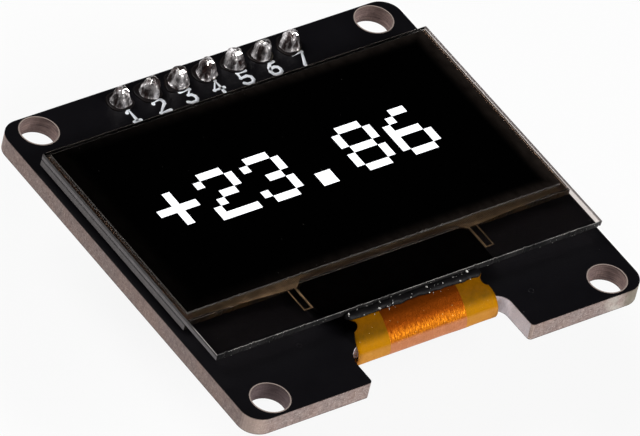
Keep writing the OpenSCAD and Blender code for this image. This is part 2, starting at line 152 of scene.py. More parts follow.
def makeSpecks():
    # scattered round specks: Share of the cells hold one, Size is its radius in cells
    tree, nodes, start, end = groupTree("specks", {"Place": (0.0, 0.0, 0.0), "Scale": 1.0, "Share": 0.1,
                                                   "Size": 0.2}, "Mask")
    cells = nodes.add("ShaderNodeTexVoronoi", {"Vector": start["Place"], "Scale": start["Scale"]}).outputs
    chosen = nodes.under(nodes.split(cells["Color"])[0], start["Share"])
    nodes.feed(end, nodes.times(chosen, nodes.under(cells["Distance"], start["Size"])))
    return tree


grain, specks = makeGrain(), makeSpecks()


class Finish(Nodes):
    # one material: a Principled shader, and the nodes that feed it
    sockets = {
        "baseColor": "Base Color", "roughness": "Roughness", "metallic": "Metallic", "ior": "IOR",
        "specular": "Specular IOR Level", "transmission": "Transmission Weight", "normal": "Normal",
        "emissionColor": "Emission Color", "emissionStrength": "Emission Strength",
    }

    def __init__(self, name, **values):
        self.material = bpy.data.materials.new(name)
        self.material.use_nodes = True
        super().__init__(self.material.node_tree)
        self.tree.nodes.clear()
        self.shader = self.add("ShaderNodeBsdfPrincipled")
        self.output = self.add("ShaderNodeOutputMaterial", {0: self.shader.outputs[0]})
        # where a point lies, in millimetres
        self.place = self.vector("SCALE", self.add("ShaderNodeTexCoord").outputs["Object"], 1 / mm)
        self.normal = self.add("ShaderNodeNewGeometry").outputs["Normal"]
        self.set(**values)

    def set(self, **values):
        for label, value in values.items():
            self.feed(self.shader.inputs[self.sockets[label]], value)

    def clouds(self, scale, contrast=1.0, stretch=(1.0, 1.0, 1.0)):
        return self.group(grain, Place=self.place, Stretch=stretch, Scale=scale, Contrast=contrast)

    def dots(self, scale, share, size):
        return self.group(specks, Place=self.place, Scale=scale, Share=share, Size=size)

    def bump(self, height, depth):
        # depth in millimetres
        bump = self.add("ShaderNodeBump", {"Height": height, "Distance": depth * mm, "Strength": 1.0})
        self.set(normal=bump.outputs[0])

    def blend(self, share, other):
        # another shader takes that share of what the surface sends out
        both = self.add("ShaderNodeMixShader", {0: share, 1: self.shader.outputs[0], 2: other.outputs[0]})
        self.feed(self.output.inputs[0], both.outputs[0])


def cloudyFinish(name, dark, light, pattern, bump=None, **values):
    # dark clouds into light; pattern: scale, contrast, stretch; bump: its scale and its depth
    mat = Finish(name, **values)
    mat.set(baseColor=mat.mix(mat.clouds(*pattern), dark, light))
    if bump:
        mat.bump(mat.clouds(bump[0]), bump[1])
    return mat.material


def plainFinish(name, dark, light, scale, roughness, depth=0.0, **values):
    # soft variation between two colours, and 15 % about the roughness
    mat = Finish(name, **values)
    mat.set(baseColor=mat.mix(mat.clouds(scale, 1.5), dark, light),
            roughness=mat.between(mat.clouds(scale * 2, 1.2), roughness * 0.85, roughness * 1.15))
    if depth:
        mat.bump(mat.clouds(scale * 3), depth)
    return mat.material


def dress(material, *nodes):
    for node in nodes:
        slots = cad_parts[node].data.materials
        slots.clear()
        slots.append(material)


def addObject(name, data):
    made = bpy.data.objects.new(name, data)
    scene.collection.objects.link(made)
    return made


def meshPiece(name, bm, smooth=False):
    bmesh.ops.recalc_face_normals(bm, faces=bm.faces)
    mesh = bpy.data.meshes.new(name)
    bm.to_mesh(mesh)
    bm.free()
    mesh.polygons.foreach_set("use_smooth", [smooth] * len(mesh.polygons))
    return addObject(name, mesh)


def finishPiece(piece, slot, *replaced, materials=()):
    for material in materials:
        piece.data.materials.append(material)
    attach(piece, "root")
    if replaced:
        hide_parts(*replaced)


def cadShape(*names):
    # a copy of CAD nodes with their flat faces whole again
    bm = bmesh.new()
    for name in names:
        bm.from_mesh(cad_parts[name].data)
    bmesh.ops.remove_doubles(bm, verts=bm.verts, dist=1e-7)
    bmesh.ops.dissolve_limit(bm, angle_limit=0.01, verts=bm.verts, edges=bm.edges)
    return bm


def bandFaces(bm, a, b):
    # joins two closed rows of points with a band of faces
    count = len(a)
    return [bm.faces.new((a[k], b[k], b[(k + 1) % count], a[(k + 1) % count])) for k in range(count)]


boardLook = {
    "mask": rgb(8, 7, 10), "maskWorn": rgb(16, 15, 18), "dust": rgb(150, 148, 150),
    "rimTone": rgb(168, 152, 144), "resin": rgb(158, 141, 136), "fibre": rgb(226, 212, 206),
    "warm": rgb(206, 164, 142), "shade": rgb(98, 84, 80), "blotch": rgb(104, 84, 92),
    # corner holds a painted highlight, and routed the routed walls' own tone with painted light in it
    "lip": rgb(60, 46, 42), "corner": rgb(232, 206, 192), "routed": rgb(246, 238, 244),
    "routedShade": rgb(206, 192, 194), "paleSpotTone": rgb(226, 226, 216), "farGreenish": rgb(120, 112, 96),
    "bore": rgb(116, 100, 100), "boreLight": rgb(160, 136, 128), "boreDark": rgb(84, 68, 70),
    # patterns on the cut edges: scale, contrast, stretch
    "saw": (6.0, 2.8, (1.0, 1.0, 0.45)), "layers": (2.2, 2.4, (1.0, 1.0, 5.0)),
    "drill": (2.2, 2.2, (0.5, 0.5, 5.0)),
    # where a shade begins and where it is full
    "cornerHighlightSpan": (-1.0, -1.42), "shadedLeftSpan": (-0.8, -0.98), "frontSpan": (-12.2, -15.2),
    "paleSpotSpan": (13.4, 14.6), "farSpan": (15.3, 16.2), "boreSpan": (-30.0, -4.0),
    "routedHighlightSpan": (-14.5, -13.7), "lipSpan": (0.66, 0.72),
    # sizes in millimetres; a radius called was is the CAD's own
    "notchX": 7.15, "notchY": -13.0, "notchR": 1.8, "wasNotchR": 1.1, "thick": 1.5, "halfDeep": 16.75,
    "holeX": 15.1, "holeY": 15.05, "holeR": 1.44, "wasHoleR": 1.55, "holeShift": (0.11, 0.08),
    "rim": 0.1, "slack": 0.02,
}


def boardFinish():
    look = boardLook
    mat = Finish("boardMaskAndLaminate", specular=0.2)
    x, y, z = mat.split(mat.place)
    towards = mat.split(mat.normal)
    fromHoleX = mat.minus(mat.away(x, look["holeShift"][0]), look["holeX"])
    fromHoleY = mat.minus(mat.away(y, look["holeShift"][1]), look["holeY"])
    fromHole = mat.vector("LENGTH", mat.join(fromHoleX, fromHoleY))
    # the sawn edge: upright saw marks, pale fibre ends in layers, warm and dark blotches
    saw = mat.clouds(*look["saw"])
    edge = mat.mix(saw, look["shade"], look["resin"])
    edge = mat.paint(edge, look["fibre"], mat.clouds(*look["layers"]), 0.35)
    edge = mat.paint(edge, look["fibre"], mat.dots(8.0, 0.3, 0.32), 0.55)
    edge = mat.paint(edge, look["warm"], mat.clouds(0.55, 2.2), 0.28)
    edge = mat.paint(edge, look["blotch"], mat.clouds(1.9, 3.2), 0.22)
    # painted shade along the left side, and a painted highlight on the corner between it and the front
    edge = mat.paint(edge, look["shade"], mat.step(towards[0], *look["shadedLeftSpan"]), 0.38)
    inNotch = mat.times(mat.under(y, look["notchY"] + look["slack"]),
                        mat.under(mat.away(x), look["notchX"] + look["slack"]))
    cornerHighlight = mat.step(mat.math("ADD", towards[0], towards[1]), *look["cornerHighlightSpan"])
    edge = mat.paint(edge, look["corner"], mat.times(cornerHighlight, mat.minus(1.0, inNotch)), 0.5)
    # pale beside the right front hole, darker and greener beyond it
    front = mat.step(mat.math("ADD", y, mat.clouds(0.8, 1.8)), *look["frontSpan"])
    paleSpot = mat.times(mat.step(x, *look["paleSpotSpan"]), mat.times(front, mat.clouds(1.1, 2.6)))
    edge = mat.paint(edge, look["paleSpotTone"], paleSpot, 0.6)
    edge = mat.paint(edge, look["farGreenish"], mat.times(mat.step(x, *look["farSpan"]), front), 0.8)
    # the notch was routed, so its walls are paler, partly their own tone and partly painted light, and palest
    # towards its inner edge, a painted highlight
    innermostHighlight = mat.times(inNotch, mat.step(y, *look["routedHighlightSpan"]))
    edge = mat.mix(innermostHighlight, edge, mat.mix(saw, look["routedShade"], look["routed"]))
    edge = mat.paint(edge, look["routed"], inNotch, 0.5)
    # the drilled holes, greyer and ringed
    inside = mat.under(mat.away(y), look["halfDeep"] - look["slack"])
    bored = mat.times(mat.under(fromHole, look["holeR"] + 0.1), inside)
    bore = mat.mix(mat.step(mat.math("ADD", x, y), *look["boreSpan"]), look["bore"], look["boreLight"])
    edge = mat.mix(bored, edge, mat.mix(mat.clouds(*look["drill"]), look["boreDark"], bore))
    edge = mat.paint(edge, look["lip"], mat.step(mat.away(z, look["thick"] / 2), *look["lipSpan"]), 0.6)
    # the printed mask: near black, with soft cloudy wear, dust, and a pale rim at each hole
    mask = mat.mix(mat.clouds(0.35, 1.4), look["mask"], look["maskWorn"])
    mask = mat.paint(mask, look["dust"], mat.dots(1.1, 0.25, 0.035), 0.3)
    mask = mat.paint(mask, look["rimTone"], mat.under(fromHole, look["holeR"] + look["rim"]), 0.8)
    face = mat.over(mat.away(towards[2]), 0.5)
    mat.set(baseColor=mat.mix(face, edge, mask), roughness=mat.between(face, 0.75, 0.38))
    mat.bump(mat.times(mat.clouds(6.0), mat.between(face, 1.0, 0.15)), 0.05)
    return mat.material


def roundedBoard():
    # the board with the notch's left inner corner and the holes as the router left them
    look = boardLook
    bm = cadShape("circuit_board")
    wasR, newR = look["wasNotchR"], look["notchR"]
    for vert in bm.verts:
        x, y = vert.co.x / mm, vert.co.y / mm
        arm = Vector((-x - look["notchX"] + wasR, y - look["notchY"] + wasR))
        if x < 0 and min(arm) > -0.001 and abs(arm.length - wasR) < look["slack"]:
            arm *= newR / wasR
            vert.co.x = -(look["notchX"] - newR + arm.x) * mm
            vert.co.y = (look["notchY"] - newR + arm.y) * mm
        hole = Vector((look["holeX"] * (1 if x > 0 else -1), look["holeY"] * (1 if y > 0 else -1)))
        arm = Vector((x, y)) - hole
        if abs(arm.length - look["wasHoleR"]) < look["slack"]:
            arm *= look["holeR"] / look["wasHoleR"]
            vert.co.x, vert.co.y = (hole + arm + Vector(look["holeShift"])) * mm
    return meshPiece("roundedBoard", bm)


finishPiece(roundedBoard(), "board", "circuit_board", materials=[boardFinish()])
print("board built")


panelLook = {
    # the glass's warm grey tint darkens what shows through it: partly the glass's own tint, partly painted
    # shade under the ledge
    "glass": (0.78, 0.72, 0.68, 1.0), "glassIor": 1.5, "letThrough": (0.75, 0.75, 0.75, 1.0),
    # ground glass: across the line, given in shares of its height, the sides turn dark; carried is
    # how much light its right side passes on
    # the front pane's pale rear side is painted light on its rear edge
    "paneSide": {"side": rgb(112, 107, 108), "sideDark": rgb(86, 82, 83), "front": rgb(12, 11, 12),
                 "frontLight": rgb(52, 50, 50), "rear": rgb(188, 174, 164), "line": (0.52, 0.66),
                 "lineShare": 0.85, "carried": 0.8},
    # its rims: paler than its sides and flecked pale on the front, partly the broken glass's own grey and
    # partly painted highlight
    "paneRim": {"side": rgb(206, 200, 198), "sideDark": rgb(150, 144, 142), "front": rgb(34, 32, 32),
                "frontLight": rgb(170, 166, 162), "rear": rgb(188, 174, 164), "carried": 0.25},
    "capSide": {"side": rgb(104, 99, 99), "sideDark": rgb(80, 76, 76), "front": rgb(14, 9, 4),
                "frontLight": rgb(64, 44, 16), "rear": rgb(96, 91, 90), "line": (0.8, 0.94), "lineShare": 0.6,
                "carried": 0.0},
    "lineTone": rgb(22, 18, 17), "rimShade": rgb(44, 39, 37),
    # where a shade on the ground glass begins and where it is full
    "turned": (0.3, 0.7), "rightSpan": (17.1, 17.2), "shadeX": (0.5, -0.5), "shadeY": (-8.4, -7.6),
    # the film: its colours, its brown margin, and how far its left and right edges are moved
    "film": rgb(1, 1, 1), "margin": rgb(36, 31, 28), "marginDark": rgb(18, 14, 12),
    "dust": rgb(130, 126, 122), "marginSpan": (0.1, 1.5), "rightwards": (-24.0, 19.0),
    "filmLeft": -0.12, "filmRight": -0.28,
    # the plates' rims, and how deep the film sinks into the pane
    "bevel": 0.035, "chip": 0.09, "step": 0.16, "sink": 0.006,
    # the black coat under the pane
    "coatDark": rgb(0, 0, 0), "coatLight": rgb(4, 3, 3), "coatR": 0.7, "coatTop": 0.004,
    "coatBottom": 0.009, "coatFront": 0.03, "coatSteps": 8,
}


def outline(low, high, step):
    # points round a rectangle, each with the direction that leads inwards
    corners = [(low.x, low.y), (high.x, low.y), (high.x, high.y), (low.x, high.y)]
    inwards = [(0, 1), (-1, 0), (0, -1), (1, 0)]
    points = []
    for side in range(4):
        start, stop = Vector(corners[side]), Vector(corners[(side + 1) % 4])
        count = max(2, int((stop - start).length / step))
        for k in range(count):
            lead = Vector(inwards[side])
            if k == 0:
                lead += Vector(inwards[side - 1])
            points.append((start.lerp(stop, k / count), lead))
    return points


def slab(name, low, high, seed):
    # a plate with broken rims, chipped here and there; its flats, sides and bevels are materials 0, 1 and 2
    look = panelLook
    wear = random.Random(seed)
    bevel, chip = look["bevel"] * mm, look["chip"] * mm
    points = outline(low, high, look["step"] * mm)
    bm = bmesh.new()
    rows = []
    for inset, z, fresh in ((bevel, high.z, True), (0, high.z - bevel, False),
                            (0, low.z + bevel, True), (bevel, low.z, False)):
        if fresh:
            chips = [chip * wear.random() ** 5 * (1 if lead.y > 0.5 and wear.random() < 0.5 else 0.05)
                     for point, lead in points]
        rows.append([bm.verts.new((*(point + lead * (inset + bite)), z))
                     for (point, lead), bite in zip(points, chips)])
    bm.faces.new(rows[0])
    bm.faces.new(rows[3][::-1])
    for upper, lower, index in zip(rows, rows[1:], (2, 1, 2)):
        for face in bandFaces(bm, lower, upper):
            face.material_index = index
    return meshPiece(name, bm)


def groundFinish(name, look, box):
    # scribed glass: grey on its sides and rear, dark towards the rim, and dark on its front; the front pane's
    # rear side is pale, painted light on its rear edge
    low, high = [corner.z / mm for corner in box]
    mat = Finish(name, roughness=0.45, specular=0.3, emissionStrength=look["carried"])
    x, y, z = mat.split(mat.place)
    towards = mat.split(mat.normal)
    upright = mat.clouds(2.4, 1.6, (1.0, 1.0, 0.2))
    side = mat.mix(upright, look["sideDark"], look["side"])
    if "line" in look:
        height = mat.math("DIVIDE", mat.minus(z, low), high - low)
        side = mat.paint(side, panelLook["lineTone"], mat.step(height, *look["line"]), look["lineShare"])
    else:
        shaded = mat.times(mat.step(x, *panelLook["shadeX"]), mat.step(y, *panelLook["shadeY"]))
        side = mat.mix(shaded, side, panelLook["rimShade"])
    # the rear side in its own tone; on the front pane a pale one, painted light
    rear = mat.step(towards[1], *panelLook["turned"])
    side = mat.mix(rear, side, look["rear"])
    flakes = mat.times(mat.clouds(9.0, 2.4), mat.step(mat.clouds(0.7, 2.6), 0.2, 0.8))
    front = mat.mix(flakes, look["front"], look["frontLight"])
    sideways = mat.math("MAXIMUM", mat.step(mat.away(towards[0]), *panelLook["turned"]), rear)
    # the right side passes on light that the glass has carried there
    carried = mat.mix(mat.step(x, *panelLook["rightSpan"]), (0.0, 0.0, 0.0, 1.0), look["side"])
    mat.set(baseColor=mat.mix(sideways, front, side), emissionColor=carried)
    mat.bump(upright, 0.02)
    return mat.material


def filmFinish():
    # the dark polarizing film: black, a little brown and streaky outside the lit area
    look = panelLook
    mat = Finish("polarizingFilm", ior=1.3, specular=0.2)
    x, y = mat.split(mat.place)[:2]
    low, high = [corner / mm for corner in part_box("light_layers")]
    middle, half = (low + high) / 2, (high - low) / 2
    beside, beyond = mat.minus(mat.away(x, middle.x), half.x), mat.minus(mat.away(y, middle.y), half.y)
    outside = mat.math("MAXIMUM", beside, beyond)
    margin = mat.times(mat.step(outside, *look["marginSpan"]), mat.step(x, *look["rightwards"]))
    brown = mat.mix(mat.clouds(1.6, 1.8, (1.0, 0.5, 1.0)), look["marginDark"], look["margin"])
    base = mat.mix(margin, look["film"], brown)
    mat.set(baseColor=mat.paint(base, look["dust"], mat.dots(1.3, 0.12, 0.03), 0.3),
            roughness=mat.between(mat.clouds(0.5), 0.06, 0.16))
    return mat.material


def blackCoat():
    # black varnish on the pane's underside: hides the driver and the ribbon's bond
    look = panelLook
    low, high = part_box("resin_block")
    front, radius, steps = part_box("front_glass")[0], look["coatR"] * mm, look["coatSteps"]
    points = [(low.x, front.y + look["coatFront"] * mm), (high.x, front.y + look["coatFront"] * mm)]
    for side, start in ((1, 0.0), (-1, pi / 2)):
        centre = Vector((side * (high.x - radius), high.y - radius))
        for k in range(steps + 1):
            turn = start + pi / 2 * k / steps
            points.append((centre.x + radius * cos(turn), centre.y + radius * sin(turn)))
    bm = bmesh.new()
    top, bottom = [[bm.verts.new((x, y, front.z - look[depth] * mm)) for x, y in points]
                   for depth in ("coatTop", "coatBottom")]
    bm.faces.new(top)
    bm.faces.new(bottom[::-1])
    bandFaces(bm, bottom, top)
    coat = cloudyFinish("blackCoat", look["coatDark"], look["coatLight"], (1.2, 1.5), roughness=0.3,
                        specular=0.0)
    finishPiece(meshPiece("blackCoat", bm), "resin", materials=[coat])


def buildPanel():
    look = panelLook
    clear = Finish("paneGlass", baseColor=look["glass"], ior=look["glassIor"], transmission=1.0,
                   roughness=0.0)
    # the glass throws only a weak shadow, so what lies behind it is lit
    shadow = clear.add("ShaderNodeLightPath").outputs["Is Shadow Ray"]
    clear.blend(shadow, clear.add("ShaderNodeBsdfTransparent", {0: look["letThrough"]}))
    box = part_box("front_glass")
    glass = [clear.material, groundFinish("paneSides", look["paneSide"], box),
             groundFinish("paneRims", look["paneRim"], box)]
    finishPiece(slab("frontPane", *box, 3), "glass", "front_glass", materials=glass)
    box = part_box("cap_glass")
    side = groundFinish("capSides", look["capSide"], box)
    finishPiece(slab("rearPane", *box, 8), "glass", "cap_glass", materials=[clear.material, side, side])
    low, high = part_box("polarizer")
    low = low + Vector((look["filmLeft"], 0, look["sink"])) * mm
    high = high + Vector((look["filmRight"], 0, 0)) * mm
    # the film's rims are paler than its sides: partly the cut edge's own tone, partly a painted highlight
    # along it
    film = [filmFinish(), plainFinish("filmSides", rgb(8, 7, 6), rgb(40, 34, 30), 4.0, 0.4),
            plainFinish("filmRims", rgb(20, 17, 15), rgb(92, 86, 82), 1.4, 0.7, specular=0.15)]
    finishPiece(slab("polarizerFilm", low, high, 5), "polarizer", "polarizer", materials=film)
    blackCoat()


buildPanel()
print("panes and film built")


ledgeLook = {
    "band": rgb(176, 150, 118), "bandDark": rgb(72, 58, 38), "pitch": 0.12, "drop": 0.006,
    "litOuter": (16.5, 9.5), "litInner": (5.6, 7.2), "litLeft": (13.0, -6.0), "litShare": (0.5, 2.2),
    "slotX": 8.0, "slotNewX": 7.88, "slack": 0.02, "resin": rgb(7, 6, 8), "resinLight": rgb(16, 14, 15),
    "seal": rgb(40, 26, 17), "sealLight": rgb(70, 50, 34), "sealPale": rgb(190, 172, 156),
    "layers": rgb(3, 3, 4), "layersLight": rgb(8, 8, 10), "paleRear": (11.25, 11.5),
    "paleRight": (16.98, 17.1),
}


def trackFinish():
    look = ledgeLook
    mat = Finish("ledgeTracks", metallic=0.55, roughness=0.5)
    x = mat.split(mat.place)[0]
    lines = mat.between(mat.math("SINE", mat.times(x, 2 * pi / look["pitch"])), 0.25, 0.75)
    cloudy = mat.times(mat.clouds(0.9, 1.6), lines)
    aside = mat.away(x)
    # painted light: the tracks are brighter on the left, about 7 to 10 mm from the middle
    lit = mat.times(mat.step(aside, *look["litOuter"]), mat.step(aside, *look["litInner"]))
    lit = mat.times(lit, mat.step(x, *look["litLeft"]))
    cloudy = mat.times(cloudy, mat.between(lit, *look["litShare"]), clamp=True)
    mat.set(baseColor=mat.mix(cloudy, look["bandDark"], look["band"]))
    return mat.material


def sealFinish():
    # brown, and pale along the panes' rear and right rims, where light gathers in it
    look = ledgeLook
    mat = Finish("brownSeal", roughness=0.45)
    x, y = mat.split(mat.place)[:2]
    outer = mat.math("MAXIMUM", mat.step(y, *look["paleRear"]), mat.step(x, *look["paleRight"]))
    brown = mat.mix(mat.clouds(3.0, 1.6), look["seal"], look["sealLight"])
    mat.set(baseColor=mat.paint(brown, look["sealPale"], outer, 0.8))
    return mat.material


def trackBand():
    # a hair lower, so that two faces don't share one plane; its slots reach closer to the driver's block
    look = ledgeLook
    bm = cadShape("ledge_tracks")
    bmesh.ops.translate(bm, verts=bm.verts, vec=(0, 0, -look["drop"] * mm))
    for vert in bm.verts:
        if abs(abs(vert.co.x) / mm - look["slotX"]) < look["slack"]:
            vert.co.x *= look["slotNewX"] / look["slotX"]
    return meshPiece("trackBand", bm)


finishPiece(trackBand(), "tracks", "ledge_tracks", materials=[trackFinish()])
blackResin = cloudyFinish("blackResin", ledgeLook["resin"], ledgeLook["resinLight"], (1.5, 1.5), (2.2, 0.02),
                          roughness=0.5, specular=0.12)
dress(blackResin, "resin_block")
dress(sealFinish(), "edge_seal")
dress(cloudyFinish("lightLayers", ledgeLook["layers"], ledgeLook["layersLight"], (0.6,), roughness=0.08,
                   specular=0.6), "light_layers")
print("ledge built")


ribbonLook = {
    # conductors: their field is 30 pitches wide, with perWay points to a pitch and plain margins
    "field": 15, "perWay": 6, "margins": 8, "marginStep": 0.5, "gapShare": 0.22, "uvSpan": 48.0,
    "ridge": 0.002,
    # half widths: the row behind the board, the conductors in the fold, the film there and under the ledge
    "row": 9.75, "fold": 3.375, "half": 6.23, "under": 5.88,
    # behind the board: thin at its bare end, then drawn in towards the notch
    "thick": 0.12, "bareThick": 0.085, "rowRidge": 0.02, "tailEnd": -8.2, "notchEdge": -13.0,
    "flare": 0.35, "flareShare": 0.6, "flareSteps": 6, "flareField": 0.22, "spreadSteps": 14,
    # its soft waves, and small shifts
    "wave": 0.03, "waveAcross": 0.45, "waveAlong": 0.5, "straightFrom": -11.2, "aside": 0.13,
    "sink": 0.006, "slip": 0.02, "bondLong": 1.0, "foldSteps": 60, "ribbonLong": 34.0,
    # the bend, outside: from behind the board, round, then slanting up to the ledge (y, z)
    "bend": ((-13.05, -0.155), (-13.38, -0.15), (-13.65, -0.06), (-13.81, 0.12), (-13.87, 0.38),
             (-13.84, 0.62), (-13.66, 1.02), (-13.35, 1.41), (-12.97, 1.75), (-12.55, 2.04),
             (-12.1, 2.32), (-11.68, 2.46), (-11.3, 2.5), (-11.0, 2.505)),
    # the shoulders and the round relief cuts, on the slant, which lies above this height
    "reliefY": -11.95, "reliefLong": 0.42, "reliefDeep": 0.42, "shoulder": 0.27, "shoulderLong": 0.95,
    "slant": 1.0,
    # glow is a painted highlight, and copperDark is partly painted shade on the slant
    "amber": rgb(150, 98, 2), "olive": rgb(104, 74, 2), "copper": rgb(200, 122, 22),
    "copperDark": rgb(130, 58, 5), "gap": rgb(150, 74, 8), "ledgeDark": rgb(96, 42, 3),
    # bare and dropEdge hold the drop's copper tone with a painted reflection of the pale floor
    "fleck": rgb(236, 206, 140), "bare": rgb(222, 150, 110), "glow": rgb(222, 148, 4),
    "dropEdge": rgb(224, 158, 74), "bonded": rgb(10, 8, 7),
    # where a shade begins and where it is full, and how the glints are stretched
    "highlightSpan": (1.85, 1.3), "dropSpan": (1.12, 0.86), "ledgeDarkSpan": (-13.3, -12.2), "glints": (2.4, 0.7, 1.0),
}


def smoothLine(points, count):
    # count places along a smooth line through the points, each with its direction
    made = []
    for n in range(count + 1):
        at = n / count * (len(points) - 1)
        k = min(int(at), len(points) - 2)
        t = at - k
        a, b, c, d = (Vector(points[min(max(k + o, 0), len(points) - 1)]) for o in (-1, 0, 1, 2))
        square, cube = 2 * a - 5 * b + 4 * c - d, 3 * b - a - 3 * c + d
        place = 0.5 * (2 * b + (c - a) * t + square * t * t + cube * t ** 3)
        lead = (c - a) + 2 * square * t + 3 * cube * t * t
        made.append((place, lead.normalized()))
    return made


def ribbonPath():
    # the outer surface from its bare end behind the board, round the fold, to its end under the ledge.
    # Each row: y, z, outward direction, thickness, half width, half width of the conductors, ridge, aside
    look = ribbonLook
    coverLow, coverHigh = [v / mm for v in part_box("ribbon_cover")]
    barLow, barHigh = [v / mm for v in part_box("ribbon_solder")]
    thick, bare, ridge, slip = look["thick"], look["bareThick"], look["ridge"], look["slip"]
    wide, slim, slant = coverHigh.x, look["half"], look["slant"]
    flareY, spreadY, endY = look["notchEdge"] + 0.1, look["notchEdge"] + 0.2, barLow.y - 0.1
    lowZ, bareZ = coverLow.z, coverLow.z + thick - bare
    down, up = Vector((0, 0, -1)), Vector((0, 0, 1))
    rows = [(look["tailEnd"], bareZ, down, bare, wide, look["row"], 0.0, 0.0),
            (barHigh.y + slip, bareZ, down, bare, wide, look["row"], look["rowRidge"], 0.0),
            (endY + slip, bareZ, down, bare, wide, look["row"], look["rowRidge"], 0.0),
            (endY, lowZ, down, thick, wide, look["row"], ridge, 0.0)]
    for k in range(1, look["spreadSteps"] + 1):
        share = k / look["spreadSteps"]
        y = endY + (spreadY + look["flare"] - endY) * share
        field = look["row"] + (look["fold"] - look["row"]) * min(1.0, (y - endY) / (spreadY - endY))
        rows.append((y, lowZ, down, thick, wide, field, ridge, 0.0))
    for k in range(1, look["flareSteps"] + 1):
        turn = pi / 2 * k / look["flareSteps"]
        half = wide - look["flare"] * (1 - cos(turn)) * look["flareShare"]
        field = look["fold"] + look["flareField"] * (1 - k / look["flareSteps"])
        rows.append((spreadY + look["flare"] * (1 - sin(turn)), lowZ, down, thick, half, field, ridge, 0.0))
    rows.append((flareY, lowZ, down, thick, slim, look["fold"], ridge, 0.0))
    for (y, z), lead in smoothLine(look["bend"], look["foldSteps"]):
        edge = slim
        if z > slant:
            # a shoulder, the round relief cut, then the part that goes under the ledge
            past = (look["reliefY"] - look["reliefLong"] - y) / look["shoulderLong"]
            edge -= look["shoulder"] * max(0.0, 1 - max(0.0, past)) ** 2
            if y > look["reliefY"]:
                edge = look["under"]
            fromRelief = (y - look["reliefY"]) / look["reliefLong"]
            if abs(fromRelief) < 1:
                edge = min(edge, slim - look["shoulder"] - look["reliefDeep"] * sqrt(1 - fromRelief ** 2))
        aside = look["aside"] * min(1.0, max(0.0, z))
        rows.append((y, z, Vector((0, -lead.y, lead.x)), thick, edge, look["fold"], ridge, aside))
    ledgeY, ledgeZ = look["bend"][-1]
    for y in (ledgeY + slip, ledgeY + look["bondLong"]):
        rows.append((y, ledgeZ - slip, up, thick - slip, look["under"], look["fold"], 0.0, look["aside"]))
    return rows


def ribbonShell():
    look = ribbonLook
    reach, per, margins, gap = look["field"], look["perWay"], look["margins"], look["gapShare"]
    plain = [reach + 1 + (k + 1) * look["marginStep"] for k in range(margins)]
    marks = [-mark for mark in plain[::-1]] + [-reach + k / per for k in range(reach * 2 * per + 1)] + plain
    bm = bmesh.new()
    layer = bm.loops.layers.uv.new("ribbon")
    rows = ribbonPath()
    outer, inner, lengths = [], [], [0.0]
    for before, after in zip(rows, rows[1:]):
        lengths.append(lengths[-1] + hypot(after[0] - before[0], after[1] - before[1]))
    for length, (y, z, out, thick, half, field, ridge, aside) in zip(lengths, rows):
        bent = abs(out.y) > 0.05 or (z > look["slant"] and y < look["straightFrom"])
        top, bottom = [], []
        for mark in marks:
            x, rise = field * mark / reach, 0.0
            if abs(mark) > reach:
                share = (abs(mark) - reach - 1) / (margins * look["marginStep"])
                x = (field + (half - field) * share) * (1 if mark > 0 else -1)
            elif gap < mark % 1.0 < 1 - gap:
                rise = ridge
            wave = noise.noise(Vector((x * look["waveAcross"], length * look["waveAlong"], 3.0)))
            sway = look["wave"] * wave if bent else 0.0
            point = Vector((x + aside, y, z)) + out * (sway - look["sink"])
            top.append(bm.verts.new((point + out * rise) * mm))
            bottom.append(bm.verts.new((point - out * (thick - 2 * look["sink"])) * mm))
        outer.append(top)
        inner.append(bottom)

    def face(*corners):
        # each corner: the surface, its row and its mark
        made = bm.faces.new([side[n][k] for side, n, k in corners])
        for loop, (side, n, k) in zip(made.loops, corners):
            loop[layer].uv = (marks[k] / look["uvSpan"] + 0.5, lengths[n] / lengths[-1])

    last = len(marks) - 1
    for n in range(len(rows) - 1):
        for k in range(last):
            face((outer, n, k), (outer, n, k + 1), (outer, n + 1, k + 1), (outer, n + 1, k))
            face((inner, n, k), (inner, n + 1, k), (inner, n + 1, k + 1), (inner, n, k + 1))
        for k in (0, last):
            face((outer, n, k), (outer, n + 1, k), (inner, n + 1, k), (inner, n, k))
    for n in (0, len(rows) - 1):
        for k in range(last):
            face((outer, n, k), (inner, n, k), (inner, n, k + 1), (outer, n, k + 1))
    return meshPiece("foldedRibbon", bm, smooth=True)


